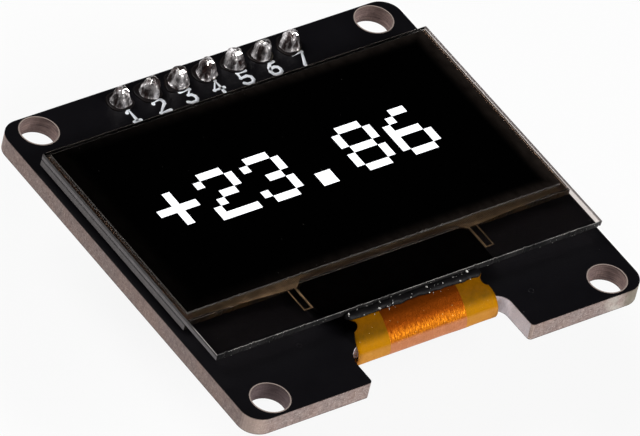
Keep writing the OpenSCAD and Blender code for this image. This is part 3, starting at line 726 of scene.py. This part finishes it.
def ribbonFinish():
    look = ribbonLook
    mat = Finish("amberRibbon", specular=0.02)
    u, v = mat.split(mat.add("ShaderNodeUVMap", uv_map="ribbon").outputs[0])[:2]
    y, z = mat.split(mat.place)[1:]
    mark = mat.times(mat.minus(u, 0.5), look["uvSpan"])
    inField = mat.under(mat.away(mark), look["field"] + 0.2)
    line = mat.step(mat.math("COSINE", mat.times(mark, 2 * pi)), 1.0, -0.6)
    cloudy = mat.clouds(1.3, 1.5)
    # a painted highlight on the band that faces up and out at the foot of the slant, on the conductors and
    # the plain margins; the slant above it stays dark, partly painted shade
    glow = mat.times(mat.step(z, *look["highlightSpan"]), mat.over(z, 0.2))
    # glints run along the conductors and break up every few tenths of a millimetre; within the band they
    # paint the copper bright
    glints = mat.group(grain, Place=mat.join(mark, mat.times(v, look["ribbonLong"])), Stretch=look["glints"],
                       Scale=1.0, Contrast=2.4)
    copper = mat.mix(mat.times(glints, glow), look["copperDark"], look["copper"])
    copper = mat.paint(copper, look["gap"], line, 0.18)
    plain = mat.mix(cloudy, look["olive"], look["amber"])
    base = mat.mix(inField, mat.paint(plain, look["glow"], glow, 0.7), copper)
    # paler where it drops down to the fold: the copper's own tone with a painted reflection of the pale
    # floor; darker towards the ledge
    drop = mat.times(mat.step(z, *look["dropSpan"]), mat.under(y, -13.3))
    dropReflection = mat.mix(inField, look["dropEdge"], look["bare"])
    base = mat.paint(base, mat.paint(dropReflection, look["copperDark"], cloudy, 0.4), drop, 0.85)
    nearLedge = mat.times(mat.step(y, *look["ledgeDarkSpan"]), mat.over(z, look["slant"]))
    base = mat.paint(base, look["ledgeDark"], nearLedge, mat.between(inField, 0.35, 0.8))
    base = mat.paint(base, look["fleck"], mat.dots(5.0, 0.06, 0.14), 0.5)
    bonded = mat.times(mat.over(y, look["bend"][-1][0]), mat.over(z, look["slant"]))
    mat.set(baseColor=mat.mix(bonded, base, look["bonded"]), metallic=mat.between(inField, 0.0, 0.55),
            roughness=mat.between(glints, 0.6, 0.36))
    mat.bump(mat.math("ADD", mat.clouds(2.0, 1.2), mat.times(glints, 0.5)), 0.02)
    return mat.material


replaced = ("ribbon_film", "ribbon_conductors", "ribbon_cover", "ribbon_bond")
finishPiece(ribbonShell(), "cover", *replaced, materials=[ribbonFinish()])
print("ribbon built")


glueLook = {
    "lump": 0.2, "slope": 0.014, "deep": 0.55, "ends": 0.35, "low": 0.75, "swell": 0.35, "sag": 0.3,
    "sagFrom": 0.3, "behind": 0.02, "columns": 150, "around": 14, "crumbs": 34, "crumbSize": 0.055,
    "chips": 90, "chipSize": 0.035, "chunkSize": 0.13,
    "crumbDark": rgb(150, 146, 140), "crumbLight": rgb(250, 248, 244),
    # share along the bead, reach out of it and height
    "chunks": ((0.025, 0.3, 0.2), (0.03, 0.2, 0.3), (0.24, 0.5, 0.12), (0.47, 0.5, 0.12),
               (0.6, 0.2, 0.3), (0.83, 0.55, 0.1), (0.9, 0.12, 0.36)),
}


def glueBead():
    look = glueLook
    low, high = [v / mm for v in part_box("glue_bead")]
    back = high.y - look["behind"]
    bm = bmesh.new()
    rings = []
    for n in range(look["columns"] + 1):
        x = low.x + (high.x - low.x) * n / look["columns"]
        ends = min(1.0, sqrt(max(0.0, min(x - low.x, high.x - x) / look["ends"])))
        swell = look["low"] + look["swell"] * noise.noise(Vector((x * 0.9, 2.0, 1.0)))
        ring = []
        for k in range(look["around"] + 1):
            turn = pi / 2 * k / look["around"]
            lump = 1 + look["lump"] * noise.noise(Vector((x * 1.3, turn * 0.9, 7.0)))
            deep = look["deep"] * (1 + look["slope"] * x) * sin(turn) * lump * (0.35 + 0.65 * ends)
            tall = (high.z - low.z) * cos(turn) * swell * ends
            sag = look["sag"] * max(0.0, deep - look["sagFrom"]) ** 1.6
            ring.append(bm.verts.new(Vector((x, back - deep, low.z + tall - sag)) * mm))
        ring.append(bm.verts.new(Vector((x, back, low.z)) * mm))
        rings.append(ring)
    for a, b in zip(rings, rings[1:]):
        bandFaces(bm, a, b)
    bm.faces.new(rings[0])
    bm.faces.new(rings[-1][::-1])
    bmesh.ops.remove_doubles(bm, verts=bm.verts, dist=1e-7)
    return meshPiece("glueLine", bm, smooth=True)


finishPiece(glueBead(), "resin", "glue_bead", materials=[blackResin])


def endTree(nodes, end, geometry, material):
    real = nodes.add("GeometryNodeRealizeInstances", {0: geometry}).outputs[0]
    nodes.feed(end, nodes.add("GeometryNodeSetMaterial", {0: real, "Material": material}).outputs[0])


def runTree(name, points, tree, lines=(), **values):
    # values go in by each socket's identifier, then the result becomes a plain mesh
    mesh = bpy.data.meshes.new(name)
    mesh.from_pydata(points, lines, [])
    piece = addObject(name, mesh)
    modifier = piece.modifiers.new(tree.name, "NODES")
    modifier.node_group = tree
    for item in tree.interface.items_tree:
        if item.in_out == "INPUT" and item.name in values:
            modifier[item.identifier] = values[item.name]
    baked = bpy.data.meshes.new_from_object(piece.evaluated_get(bpy.context.evaluated_depsgraph_get()))
    bpy.data.objects.remove(piece)
    return addObject(name, baked)


def onPoints(nodes, start, shape, **more):
    # the shape once on each point
    inputs = {"Points": start["Geometry"], "Instance": shape, **more}
    return nodes.add("GeometryNodeInstanceOnPoints", inputs).outputs[0]


def crumbTree(material):
    # small angular crumbs, one on each point, turned and sized at random
    tree, nodes, start, end = groupTree("crumbs", {"Size": 0.05 * mm, "Seed": 1}, "Geometry", geometry=True)
    ball = nodes.add("GeometryNodeMeshIcoSphere", {"Subdivisions": 1, "Radius": 1.0}).outputs[0]
    size = nodes.add("FunctionNodeRandomValue", {2: 0.4, 3: 1.4, "Seed": start["Seed"]}, data_type="FLOAT")
    turn = nodes.add("FunctionNodeRandomValue", {1: (6.28, 6.28, 6.28), "Seed": start["Seed"]},
                     data_type="FLOAT_VECTOR").outputs[0]
    scale = nodes.times(size.outputs[1], start["Size"])
    shape = nodes.join(scale, nodes.times(scale, 0.7), nodes.times(scale, 0.5))
    endTree(nodes, end, onPoints(nodes, start, ball, Rotation=turn, Scale=shape), material)
    return tree


def buildCrumbs():
    look = glueLook
    pale = cloudyFinish("paleCrumbs", look["crumbDark"], look["crumbLight"], (4.0, 2.0), roughness=0.3)
    tree = crumbTree(pale)
    spread = random.Random(11)
    low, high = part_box("glue_bead")
    points = []
    for n in range(look["crumbs"]):
        share = abs(spread.random() + spread.random() * 0.3) % 1.0
        out = spread.random() ** 1.3
        points.append((low.x + (high.x - low.x) * share, high.y - (high.y - low.y) * out,
                       low.z + (high.z - low.z) * sqrt(max(0.0, 1 - out * out)) * 0.8))
    finishPiece(runTree("glueCrumbs", points, tree, Size=look["crumbSize"] * mm, Seed=4), "resin")
    points = [(low.x + (high.x - low.x) * share, high.y - out * mm, low.z + up * mm)
              for share, out, up in look["chunks"]]
    finishPiece(runTree("glueChunks", points, tree, Size=look["chunkSize"] * mm, Seed=2), "resin")
    # chips along the pane's front edge: at its lower rim, at its upper rim or between
    low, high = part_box("front_glass")
    points = []
    for n in range(look["chips"]):
        x = low.x + (high.x - low.x) * spread.random()
        z = spread.choice((low.z + 0.03 * mm, high.z - 0.02 * mm, low.z + (high.z - low.z) * spread.random()))
        points.append((x, low.y - 0.006 * mm, z))
    finishPiece(runTree("scribedEdgeChips", points, tree, Size=look["chipSize"] * mm, Seed=9), "glass")


buildCrumbs()
print("glue and crumbs built")


readout = {
    # pitch and size of the panel's dots in millimetres; the panel, the margins and the signs in dots
    "text": "+23.86", "pitch": 29.42 / 128, "dot": 0.216, "deep": 0.004, "glow": 1.1,
    "tone": rgb(200, 200, 204),
    "wide": 128, "high": 64, "left": 7, "top": 20, "advance": 6, "scale": 3,
}
digitRows = {
    "+": (".....", "..#..", "..#..", "#####", "..#..", "..#..", "....."),
    "2": (".###.", "#...#", "....#", "..##.", ".#...", "#....", "#####"),
    "3": (".###.", "#...#", "....#", "..##.", "....#", "#...#", ".###."),
    ".": (".....", ".....", ".....", ".....", ".....", ".##..", ".##.."),
    "8": (".###.", "#...#", "#...#", ".###.", "#...#", "#...#", ".###."),
    "6": ("..##.", ".#...", "#....", "####.", "#...#", "#...#", ".###."),
}


def litFinish():
    mat = Finish("litElements", baseColor=readout["tone"], roughness=0.15, emissionStrength=readout["glow"])
    mat.set(emissionColor=mat.mix(mat.clouds(0.8, 0.6), rgb(246, 249, 255), rgb(255, 255, 255)))
    return mat.material


def litTree(material):
    tree, nodes, start, end = groupTree("litElements", {"Dot": 0.2 * mm, "Deep": 0.004 * mm}, "Geometry",
                                        geometry=True)
    size = nodes.join(start["Dot"], start["Dot"], start["Deep"])
    cell = nodes.add("GeometryNodeMeshCube", {"Size": size}).outputs[0]
    endTree(nodes, end, onPoints(nodes, start, cell), material)
    return tree


def buildReadout():
    look = readout
    low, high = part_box("light_layers")
    pitch, deep = look["pitch"] * mm, look["deep"] * mm
    left = (low.x + high.x) / 2 - look["wide"] / 2 * pitch
    top = (low.y + high.y) / 2 + look["high"] / 2 * pitch
    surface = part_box("polarizer")[1].z
    lit = [(place * look["advance"] + column, row) for place, sign in enumerate(look["text"])
           for row, line in enumerate(digitRows[sign]) for column, mark in enumerate(line) if mark == "#"]
    points = [(left + (look["left"] + column * look["scale"] + dx + 0.5) * pitch,
               top - (look["top"] + row * look["scale"] + dy + 0.5) * pitch, surface + deep / 2)
              for column, row in lit for dx in range(look["scale"]) for dy in range(look["scale"])]
    finishPiece(runTree("litReading", points, litTree(litFinish()), Dot=look["dot"] * mm, Deep=deep), "lit")


buildReadout()
print("reading built")


jointLook = {
    "around": 44, "up": 34, "top": 2.92, "base": 0.76, "taper": 0.36, "lump": 0.26, "fold": 0.16,
    "lean": 0.12, "skirt": 0.07, "skirtShare": 9, "sink": 0.01, "stain": 1.15, "stainHigh": 0.055,
    "stainWave": 0.3, "stainBite": 0.25, "stainFlat": 0.86, "stainAround": 48, "dark": rgb(74, 64, 63),
    "bright": rgb(255, 250, 251), "brown": rgb(52, 32, 29),
}


def solderFinish():
    look = jointLook
    mat = Finish("brightSolder", metallic=0.8)
    # bright and dark streaks in the colour are painted reflections of the lamps and the dark sky; in the bump
    # the same streaks are real ridges
    ridgesAndReflections = mat.clouds(1.7, 4.6, (1.0, 1.0, 0.3))
    # brown patches: partly flux, partly painted shade in the crevices
    brown = mat.step(mat.clouds(1.3, 2.8, (1.0, 1.0, 0.5)), 0.62, 0.86)
    mat.set(baseColor=mat.paint(mat.mix(ridgesAndReflections, look["dark"], look["bright"]), look["brown"], brown, 0.85),
            roughness=mat.between(mat.clouds(3.5, 1.6), 0.16, 0.55))
    mat.bump(mat.math("ADD", mat.clouds(2.6, 1.4), ridgesAndReflections), 0.09)
    return mat.material


def solderBlob(index, x, y, base):
    # a cone of solder that climbs the pin and closes over its tip, lumpy and ridged
    look = jointLook
    bm = bmesh.new()
    rings = []
    lean = random.Random(20 + index)
    push = Vector((lean.uniform(-look["lean"], look["lean"]), lean.uniform(-look["lean"], look["lean"]), 0))
    ridge = lean.uniform(0, 2 * pi)
    for n in range(look["up"] + 1):
        tall = 1 - (1 - n / look["up"]) ** 1.4
        z = base + (look["top"] - base) * tall
        radius = look["base"] * (1 - look["taper"] * tall) * sqrt(max(0.0, 1 - tall ** 7))
        radius += look["skirt"] * max(0.0, 1 - tall * look["skirtShare"]) ** 2
        ring = []
        for k in range(look["around"]):
            turn = 2 * pi * k / look["around"]
            broad = noise.noise(Vector((cos(turn) * 0.9, sin(turn) * 0.9, z * 0.8 + index * 9)))
            small = noise.noise(Vector((cos(turn) * 2.6, sin(turn) * 2.6, z * 2.2 + index * 4)))
            lump = 1 + look["lump"] * (1.6 * broad + 0.5 * small) * (0.5 + 0.5 * tall)
            fold = max(0.0, cos(turn - ridge - tall * 1.4)) ** 8
            lump += look["fold"] * fold * sin(pi * min(1.0, tall * 1.1))
            place = push * tall + Vector((cos(turn) * radius * lump, sin(turn) * radius * lump, 0))
            ring.append(bm.verts.new((Vector((x, y, z)) + place) * mm))
        rings.append(ring)
    for a, b in zip(rings, rings[1:]):
        bandFaces(bm, a, b)
    bm.faces.new(rings[0][::-1])
    bmesh.ops.remove_doubles(bm, verts=bm.verts, dist=1e-6)
    return meshPiece(f"solderBlob{index}", bm, smooth=True)


def fluxStain(index, x, y, base):
    # a flat stain round the joint, drawn in on its right front side
    look = jointLook
    bm = bmesh.new()
    high = base + look["stainHigh"]
    middle = bm.verts.new(Vector((x, y, high)) * mm)
    inner, outer = [], []
    for k in range(look["stainAround"]):
        turn = 2 * pi * k / look["stainAround"]
        spot = Vector((cos(turn), sin(turn), 0))
        reach = look["stain"] + look["stainWave"] * noise.noise(Vector((spot.x, spot.y, index * 5.0)))
        reach -= look["stainBite"] * max(0.0, cos(turn + pi / 4))
        inner.append(bm.verts.new((Vector((x, y, high)) + spot * reach * look["stainFlat"]) * mm))
        outer.append(bm.verts.new((Vector((x, y, base + 0.001)) + spot * reach) * mm))
    for k in range(look["stainAround"]):
        bm.faces.new((middle, inner[k], inner[(k + 1) % look["stainAround"]]))
    bandFaces(bm, inner, outer)
    bm.faces.new(outer[::-1])
    return meshPiece(f"fluxStain{index}", bm, smooth=True)


def pinFinish():
    # gold on the long end, tin where the solder took
    mat = Finish("pinPlating", metallic=1.0)
    gold = mat.mix(mat.clouds(1.5, 1.4), rgb(206, 166, 92), rgb(240, 208, 138))
    mat.set(baseColor=mat.mix(mat.over(mat.split(mat.place)[2], 0.0), gold, rgb(206, 202, 198)),
            roughness=mat.between(mat.clouds(3.0, 1.2, (1.0, 1.0, 0.1)), 0.16, 0.3))
    return mat.material


pins = sorted(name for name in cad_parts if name.startswith("header_pin_"))
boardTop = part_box("circuit_board")[1].z / mm


def pinPlace(pin):
    low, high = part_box(pin)
    return (low.x + high.x) / 2 / mm, (low.y + high.y) / 2 / mm


def buildJoints():
    solder = solderFinish()
    flux = cloudyFinish("fluxStain", rgb(8, 7, 9), rgb(26, 19, 18), (1.6, 2.4), roughness=0.45, specular=0.15)
    for index, pin in enumerate(pins, 1):
        blob = solderBlob(index, *pinPlace(pin), boardTop + jointLook["sink"])
        finishPiece(blob, "solder", f"solder_joint_{index}", materials=[solder])
        finishPiece(fluxStain(index, *pinPlace(pin), boardTop), "solder", materials=[flux])
    dress(pinFinish(), *pins)
    dress(solder, "ribbon_solder", "chip_solder")


buildJoints()
print("pins and solder built")


inkLook = {"tall": 1.3, "wide": 0.86, "stroke": 0.3, "row": 13.72, "backRow": 12.95, "raise": 0.012}
# the pen's path for each digit, in a box 1 wide and 1 tall
digitPaths = {
    "1": [[(0.2, 0.78), (0.52, 1.0), (0.52, 0.0)], [(0.2, 0.0), (0.84, 0.0)]],
    "2": [[(0.0, 0.8), (0.12, 0.95), (0.34, 1.0), (0.68, 1.0), (0.9, 0.93), (1.0, 0.76), (0.94, 0.6),
           (0.0, 0.0), (1.0, 0.0)]],
    "3": [[(0.0, 1.0), (1.0, 1.0), (0.5, 0.6), (0.8, 0.56), (1.0, 0.4), (1.0, 0.18), (0.8, 0.02),
           (0.25, 0.0), (0.0, 0.14)]],
    "4": [[(0.72, 0.0), (0.72, 1.0), (0.0, 0.33), (1.0, 0.33)]],
    "5": [[(0.95, 1.0), (0.1, 1.0), (0.04, 0.56), (0.7, 0.6), (1.0, 0.44), (1.0, 0.18), (0.76, 0.0),
           (0.24, 0.0), (0.0, 0.14)]],
    "6": [[(0.92, 0.98), (0.5, 0.92), (0.14, 0.64), (0.0, 0.32), (0.1, 0.08), (0.3, 0.0), (0.7, 0.0),
           (0.95, 0.12), (1.0, 0.32), (0.9, 0.5), (0.64, 0.58), (0.3, 0.55), (0.06, 0.42)]],
    "7": [[(0.0, 1.0), (1.0, 1.0), (0.36, 0.0)]],
}


def strokeTree(name, material):
    # runs a flat nib along the paths and rounds their ends with discs a little lower than it
    tree, nodes, start, end = groupTree(name, {"Stroke": 0.2 * mm, "Raise": 0.01 * mm}, "Geometry",
                                        geometry=True)
    line = nodes.add("GeometryNodeMeshToCurve", {0: start["Geometry"]}).outputs[0]
    nib = nodes.add("GeometryNodeCurvePrimitiveQuadrilateral",
                    {"Width": start["Stroke"], "Height": start["Raise"]}).outputs[0]
    band = nodes.add("GeometryNodeCurveToMesh", {0: line, 1: nib, "Fill Caps": True}).outputs[0]
    disc = nodes.add("GeometryNodeMeshCylinder", {"Vertices": 14, "Radius": nodes.times(start["Stroke"], 0.5),
                                                  "Depth": nodes.times(start["Raise"], 0.9)}).outputs[0]
    both = nodes.add("GeometryNodeJoinGeometry")
    nodes.feed(both.inputs[0], band)
    nodes.feed(both.inputs[0], onPoints(nodes, start, disc))
    endTree(nodes, end, both.outputs[0], material)
    return tree


def strokes(name, tree, paths, stroke, raised):
    # paths in millimetres, as one thin raised band with round ends
    points, lines = [], []
    for path in paths:
        lines += [(len(points) + k, len(points) + k + 1) for k in range(len(path) - 1)]
        points += [Vector(p) * mm for p in path]
    return runTree(name, points, tree, lines, Stroke=stroke * mm, Raise=raised * mm)


def printNumber(name, tree, digit, x, y, z, flip):
    look = inkLook
    paths = [[(x + flip * (u - 0.5) * look["wide"], y + (v - 0.5) * look["tall"], z) for u, v in path]
             for path in digitPaths[digit]]
    finishPiece(strokes(name + digit, tree, paths, look["stroke"], look["raise"]), "ink")


backLook = {
    "trace": 0.26, "traceHigh": 0.03, "boxLine": 0.14, "viaR": 0.2, "viaTube": 0.04,
    # printed boxes round the parts: middle x, y, width, height
    "boxes": [(x, 9.6, 1.6, 3.0) for x in (-6, -2, 2, 6)]
    + [(x, -5.0, 1.6, 3.0) for x in (-9, -6, -3, 0, 3, 6)]
    + [(10, 3, 3.0, 1.5), (10, 5, 3.0, 1.5), (10, 0, 4.2, 2.0), (-12.5, 3.4, 3.8, 4.0),
       (-12.5, 0, 3.0, 1.5), (-12.5, 6.6, 3.0, 1.5)],
    # copper under the mask, from the pins and the ribbon's row to the parts
    "traces": [[(x, -6.1), (x, -8.0)] for x in (-9, -6, -3, 0, 3, 6)]
    + [[(x, -3.9), (x + 0.6, -3.3), (x + 0.6, -2.4)] for x in (-9, -6, -3, 0, 3, 6)]
    + [[(-7.62, 14.1), (-7.62, 12.6), (-9.9, 10.3), (-9.9, 7.4), (-10.7, 6.6), (-11.2, 6.6)],
       [(-5.08, 14.1), (-5.08, 12.0), (-6, 11.1)], [(-2.54, 14.1), (-2.54, 12.0), (-2, 11.5), (-2, 11.0)],
       [(0, 14.1), (0, 6.0), (-1.5, 4.5), (-1.5, -8.0)], [(2.54, 14.1), (2.54, 12.0), (2, 11.5), (2, 11.0)],
       [(5.08, 14.1), (5.08, 12.0), (6, 11.1)], [(7.62, 14.1), (7.62, 1.0), (4.5, -2.1), (4.5, -8.0)],
       [(-6, 8.2), (-6, 6.8), (-4.5, 5.3), (-4.5, -8.0)], [(-2, 8.2), (-2, 7.2)],
       [(2, 8.2), (2, 6.5), (1.5, 6.0), (1.5, -8.0)], [(6, 8.2), (6, 7.2)],
       [(-11.2, 0), (-9.9, -1.3), (-9.9, -3.2), (-7.5, -5.6), (-7.5, -8.0)],
       [(11.2, 3), (12.4, 3), (13.2, 3.8), (13.2, 6.4)], [(11.2, 5), (12.0, 5.8), (12.0, 8.6)]],
    "backVias": [(x + 0.6, -2.4) for x in (-9, -6, -3, 0, 3, 6)]
    + [(-2, 7.2), (6, 7.2), (13.2, 6.4), (12.0, 8.6)],
    "frontVias": [(-10.0, -11.4), (9.2, -13.7)],
}


def framePath(x, y, wide, tall, z):
    corners = [(x - wide / 2, y - tall / 2), (x + wide / 2, y - tall / 2),
               (x + wide / 2, y + tall / 2), (x - wide / 2, y + tall / 2)]
    return [(u, v, z) for u, v in corners + corners[:1]]


def viaTree(material):
    # a ring on each point: the rim of a via under the mask
    tree, nodes, start, end = groupTree("viaRims", {"Radius": 0.25 * mm, "Tube": 0.04 * mm}, "Geometry",
                                        geometry=True)
    circle = "GeometryNodeCurvePrimitiveCircle"
    ring = nodes.add(circle, {"Resolution": 24, "Radius": start["Radius"]}).outputs[0]
    tube = nodes.add(circle, {"Resolution": 8, "Radius": start["Tube"]}).outputs[0]
    rim = nodes.add("GeometryNodeCurveToMesh", {0: ring, 1: tube}).outputs[0]
    endTree(nodes, end, onPoints(nodes, start, rim), material)
    return tree


def buildCopper():
    look = backLook
    mask = plainFinish("maskOverCopper", rgb(12, 11, 14), rgb(22, 20, 24), 1.5, 0.34, 0.01, specular=0.2)
    tree = strokeTree("copperStrokes", mask)
    paths = [[(x, y, 0.0) for x, y in path] for path in look["traces"]]
    finishPiece(strokes("maskedTraces", tree, paths, look["trace"], look["traceHigh"]), "board")
    tree = viaTree(mask)
    for name, key, z in (("viaRimsBack", "backVias", 0.0), ("viaRimsFront", "frontVias", boardTop)):
        points = [Vector((x, y, z)) * mm for x, y in look[key]]
        finishPiece(runTree(name, points, tree, Radius=look["viaR"] * mm, Tube=look["viaTube"] * mm), "board")


def buildPrint():
    look = inkLook
    ink = cloudyFinish("printedInk", rgb(240, 246, 255), rgb(252, 254, 255), (5.0, 1.6), (8.0, 0.01),
                       roughness=0.6)
    tree = strokeTree("inkStrokes", ink)
    for index, pin in enumerate(pins, 1):
        x = pinPlace(pin)[0]
        printNumber("pinNumber", tree, str(index), x, look["row"], boardTop + look["raise"] / 2, 1)
        printNumber("pinNumberBack", tree, str(index), x, look["backRow"], -look["raise"] / 2, -1)
    boxes = [framePath(*box, -look["raise"] / 2) for box in backLook["boxes"]]
    finishPiece(strokes("printedBoxes", tree, boxes, backLook["boxLine"], look["raise"]), "ink")


buildPrint()
buildCopper()
print("print and copper built")


backPieces = {
    # piece: how far its edges are broken in millimetres, slot, finish, CAD nodes by the start of their names
    "housingStrip": (0.08, "housing", "moulded", ("header_housing",)),
    "mouldedBodies": (0.04, "moulding", "moulded", ("regulator_body", "diode_body")),
    "chipCaps": (0.03, "chip_end", "tinned", ("chip_ends",)),
    "resistorBodies": (0.03, "resistor", "glaze", ("resistor_",)),
    "capacitorBodies": (0.04, "capacitor", "ceramic", ("capacitor_",)),
}
backFinishes = {
    # name, dark, light, cloud scale, roughness, bump depth, metallic
    "moulded": ("mouldedBlack", (22, 22, 24), (34, 34, 36), 2.0, 0.5, 0.02, 0.0),
    "foam": ("foamBlack", (20, 20, 22), (40, 40, 42), 6.0, 0.95, 0.06, 0.0),
    "sheet": ("dryingSheet", (206, 200, 186), (228, 224, 212), 2.0, 0.8, 0.0, 0.0),
    "silicon": ("chipSilicon", (7, 7, 8), (12, 11, 13), 1.0, 0.3, 0.0, 0.0),
    "tinned": ("tinnedMetal", (176, 174, 172), (214, 212, 210), 3.0, 0.3, 0.01, 1.0),
    "plated": ("platedPad", (196, 184, 158), (222, 212, 190), 3.0, 0.32, 0.01, 1.0),
    "glaze": ("resistorGlaze", (18, 18, 20), (30, 30, 34), 3.0, 0.28, 0.01, 0.0),
    "ceramic": ("capacitorCeramic", (150, 118, 84), (178, 146, 108), 3.0, 0.5, 0.02, 0.0),
}
# CAD nodes that keep their own shape, with the finish of each
backPlain = {"foam": ("foam_tape",), "sheet": ("drying_sheet",), "silicon": ("driver_chip",),
             "tinned": ("regulator_leads", "diode_leads"), "plated": ("board_pads", "hole_plating")}


def softened(name, offset, nodes):
    # CAD nodes with their edges broken, as one piece
    bm = cadShape(*nodes)
    sharp = [e for e in bm.edges if len(e.link_faces) == 2 and e.calc_face_angle() > 0.5]
    bmesh.ops.bevel(bm, geom=sharp, offset=offset * mm, segments=2, affect="EDGES", clamp_overlap=True)
    return meshPiece(name, bm)


def buildBack():
    finishes = {}
    for key, (name, dark, light, scale, roughness, depth, metallic) in backFinishes.items():
        finishes[key] = plainFinish(name, rgb(*dark), rgb(*light), scale, roughness, depth, metallic=metallic)
    for key, nodes in backPlain.items():
        dress(finishes[key], *nodes)
    for name, (offset, slot, key, starts) in backPieces.items():
        nodes = [node for start in starts for node in sorted(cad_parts) if node.startswith(start)]
        finishPiece(softened(name, offset, nodes), slot, *nodes, materials=[finishes[key]])


buildBack()
print("back dressed")


studio = {
    "floorZ": -8.6, "floorSize": 4000, "floorTone": (0.86, 0.86, 0.86, 1.0), "floorGlow": 0.9,
    "floorLift": 0.4,
    # the sky, and a dark card on one side of the set: its direction and where it begins and is full
    "sky": 0.3, "darkSky": 0.03, "darkSide": (0.521, 0.533, 0.667), "darkSpan": (0.7, 0.95),
    "camera": (-403.04, -412.11, 518.67), "cameraTurn": (47.1465, -10.5274, -34.7462), "lens": 599.92,
}
lamps = {
    # place in mm, size in mm, watts
    "keyLamp": ((-240, 300, 450), 280, 2.6),
    "frontLamp": ((330, -440, 330), 240, 3.0),
    "leftLamp": ((-420, -260, 200), 240, 0.2),
}


def buildFloor():
    look = studio
    half, z = look["floorSize"] / 2, look["floorZ"]
    mesh = bpy.data.meshes.new("floor")
    corners = [Vector((x * half, y * half, z)) * mm for x, y in ((-1, -1), (1, -1), (1, 1), (-1, 1))]
    mesh.from_pydata(corners, [], [(0, 1, 2, 3)])
    mat = Finish("paleFloor", baseColor=look["floorTone"], roughness=0.9, specular=0.0)
    path = mat.add("ShaderNodeLightPath").outputs
    seen = mat.math("MAXIMUM", path["Is Camera Ray"],
                    mat.math("MAXIMUM", path["Is Glossy Ray"], path["Is Transmission Ray"]))
    share = mat.math("MAXIMUM", mat.times(seen, look["floorGlow"]), look["floorLift"])
    mat.blend(share, mat.add("ShaderNodeEmission", {0: (1.0, 1.0, 1.0, 1.0), 1: 1.0}))
    mesh.materials.append(mat.material)
    addObject("floor", mesh)


def buildStudio():
    look = studio
    scene.world = bpy.data.worlds.new("studioSky")
    scene.world.use_nodes = True
    sky = Nodes(scene.world.node_tree)
    towards = sky.vector("DOT_PRODUCT", sky.add("ShaderNodeTexCoord").outputs["Generated"], look["darkSide"])
    light = sky.between(sky.step(towards, *look["darkSpan"]), look["sky"], look["darkSky"])
    sky.feed(sky.tree.nodes["Background"].inputs[1], light)
    for name, (place, size, watts) in lamps.items():
        lamp = bpy.data.lights.new(name, "AREA")
        lamp.size = size * mm
        lamp.energy = watts
        holder = addObject(name, lamp)
        holder.location = Vector(place) * mm
        holder.rotation_euler = (-holder.location).to_track_quat("-Z", "Y").to_euler()
    camera = bpy.data.cameras.new("camera")
    camera.lens = look["lens"]
    camera.clip_start, camera.clip_end = 0.05, 20
    scene.camera = addObject("camera", camera)
    scene.camera.location = Vector(look["camera"]) * mm
    scene.camera.rotation_euler = [radians(a) for a in look["cameraTurn"]]


buildFloor()
buildStudio()
print("studio built")
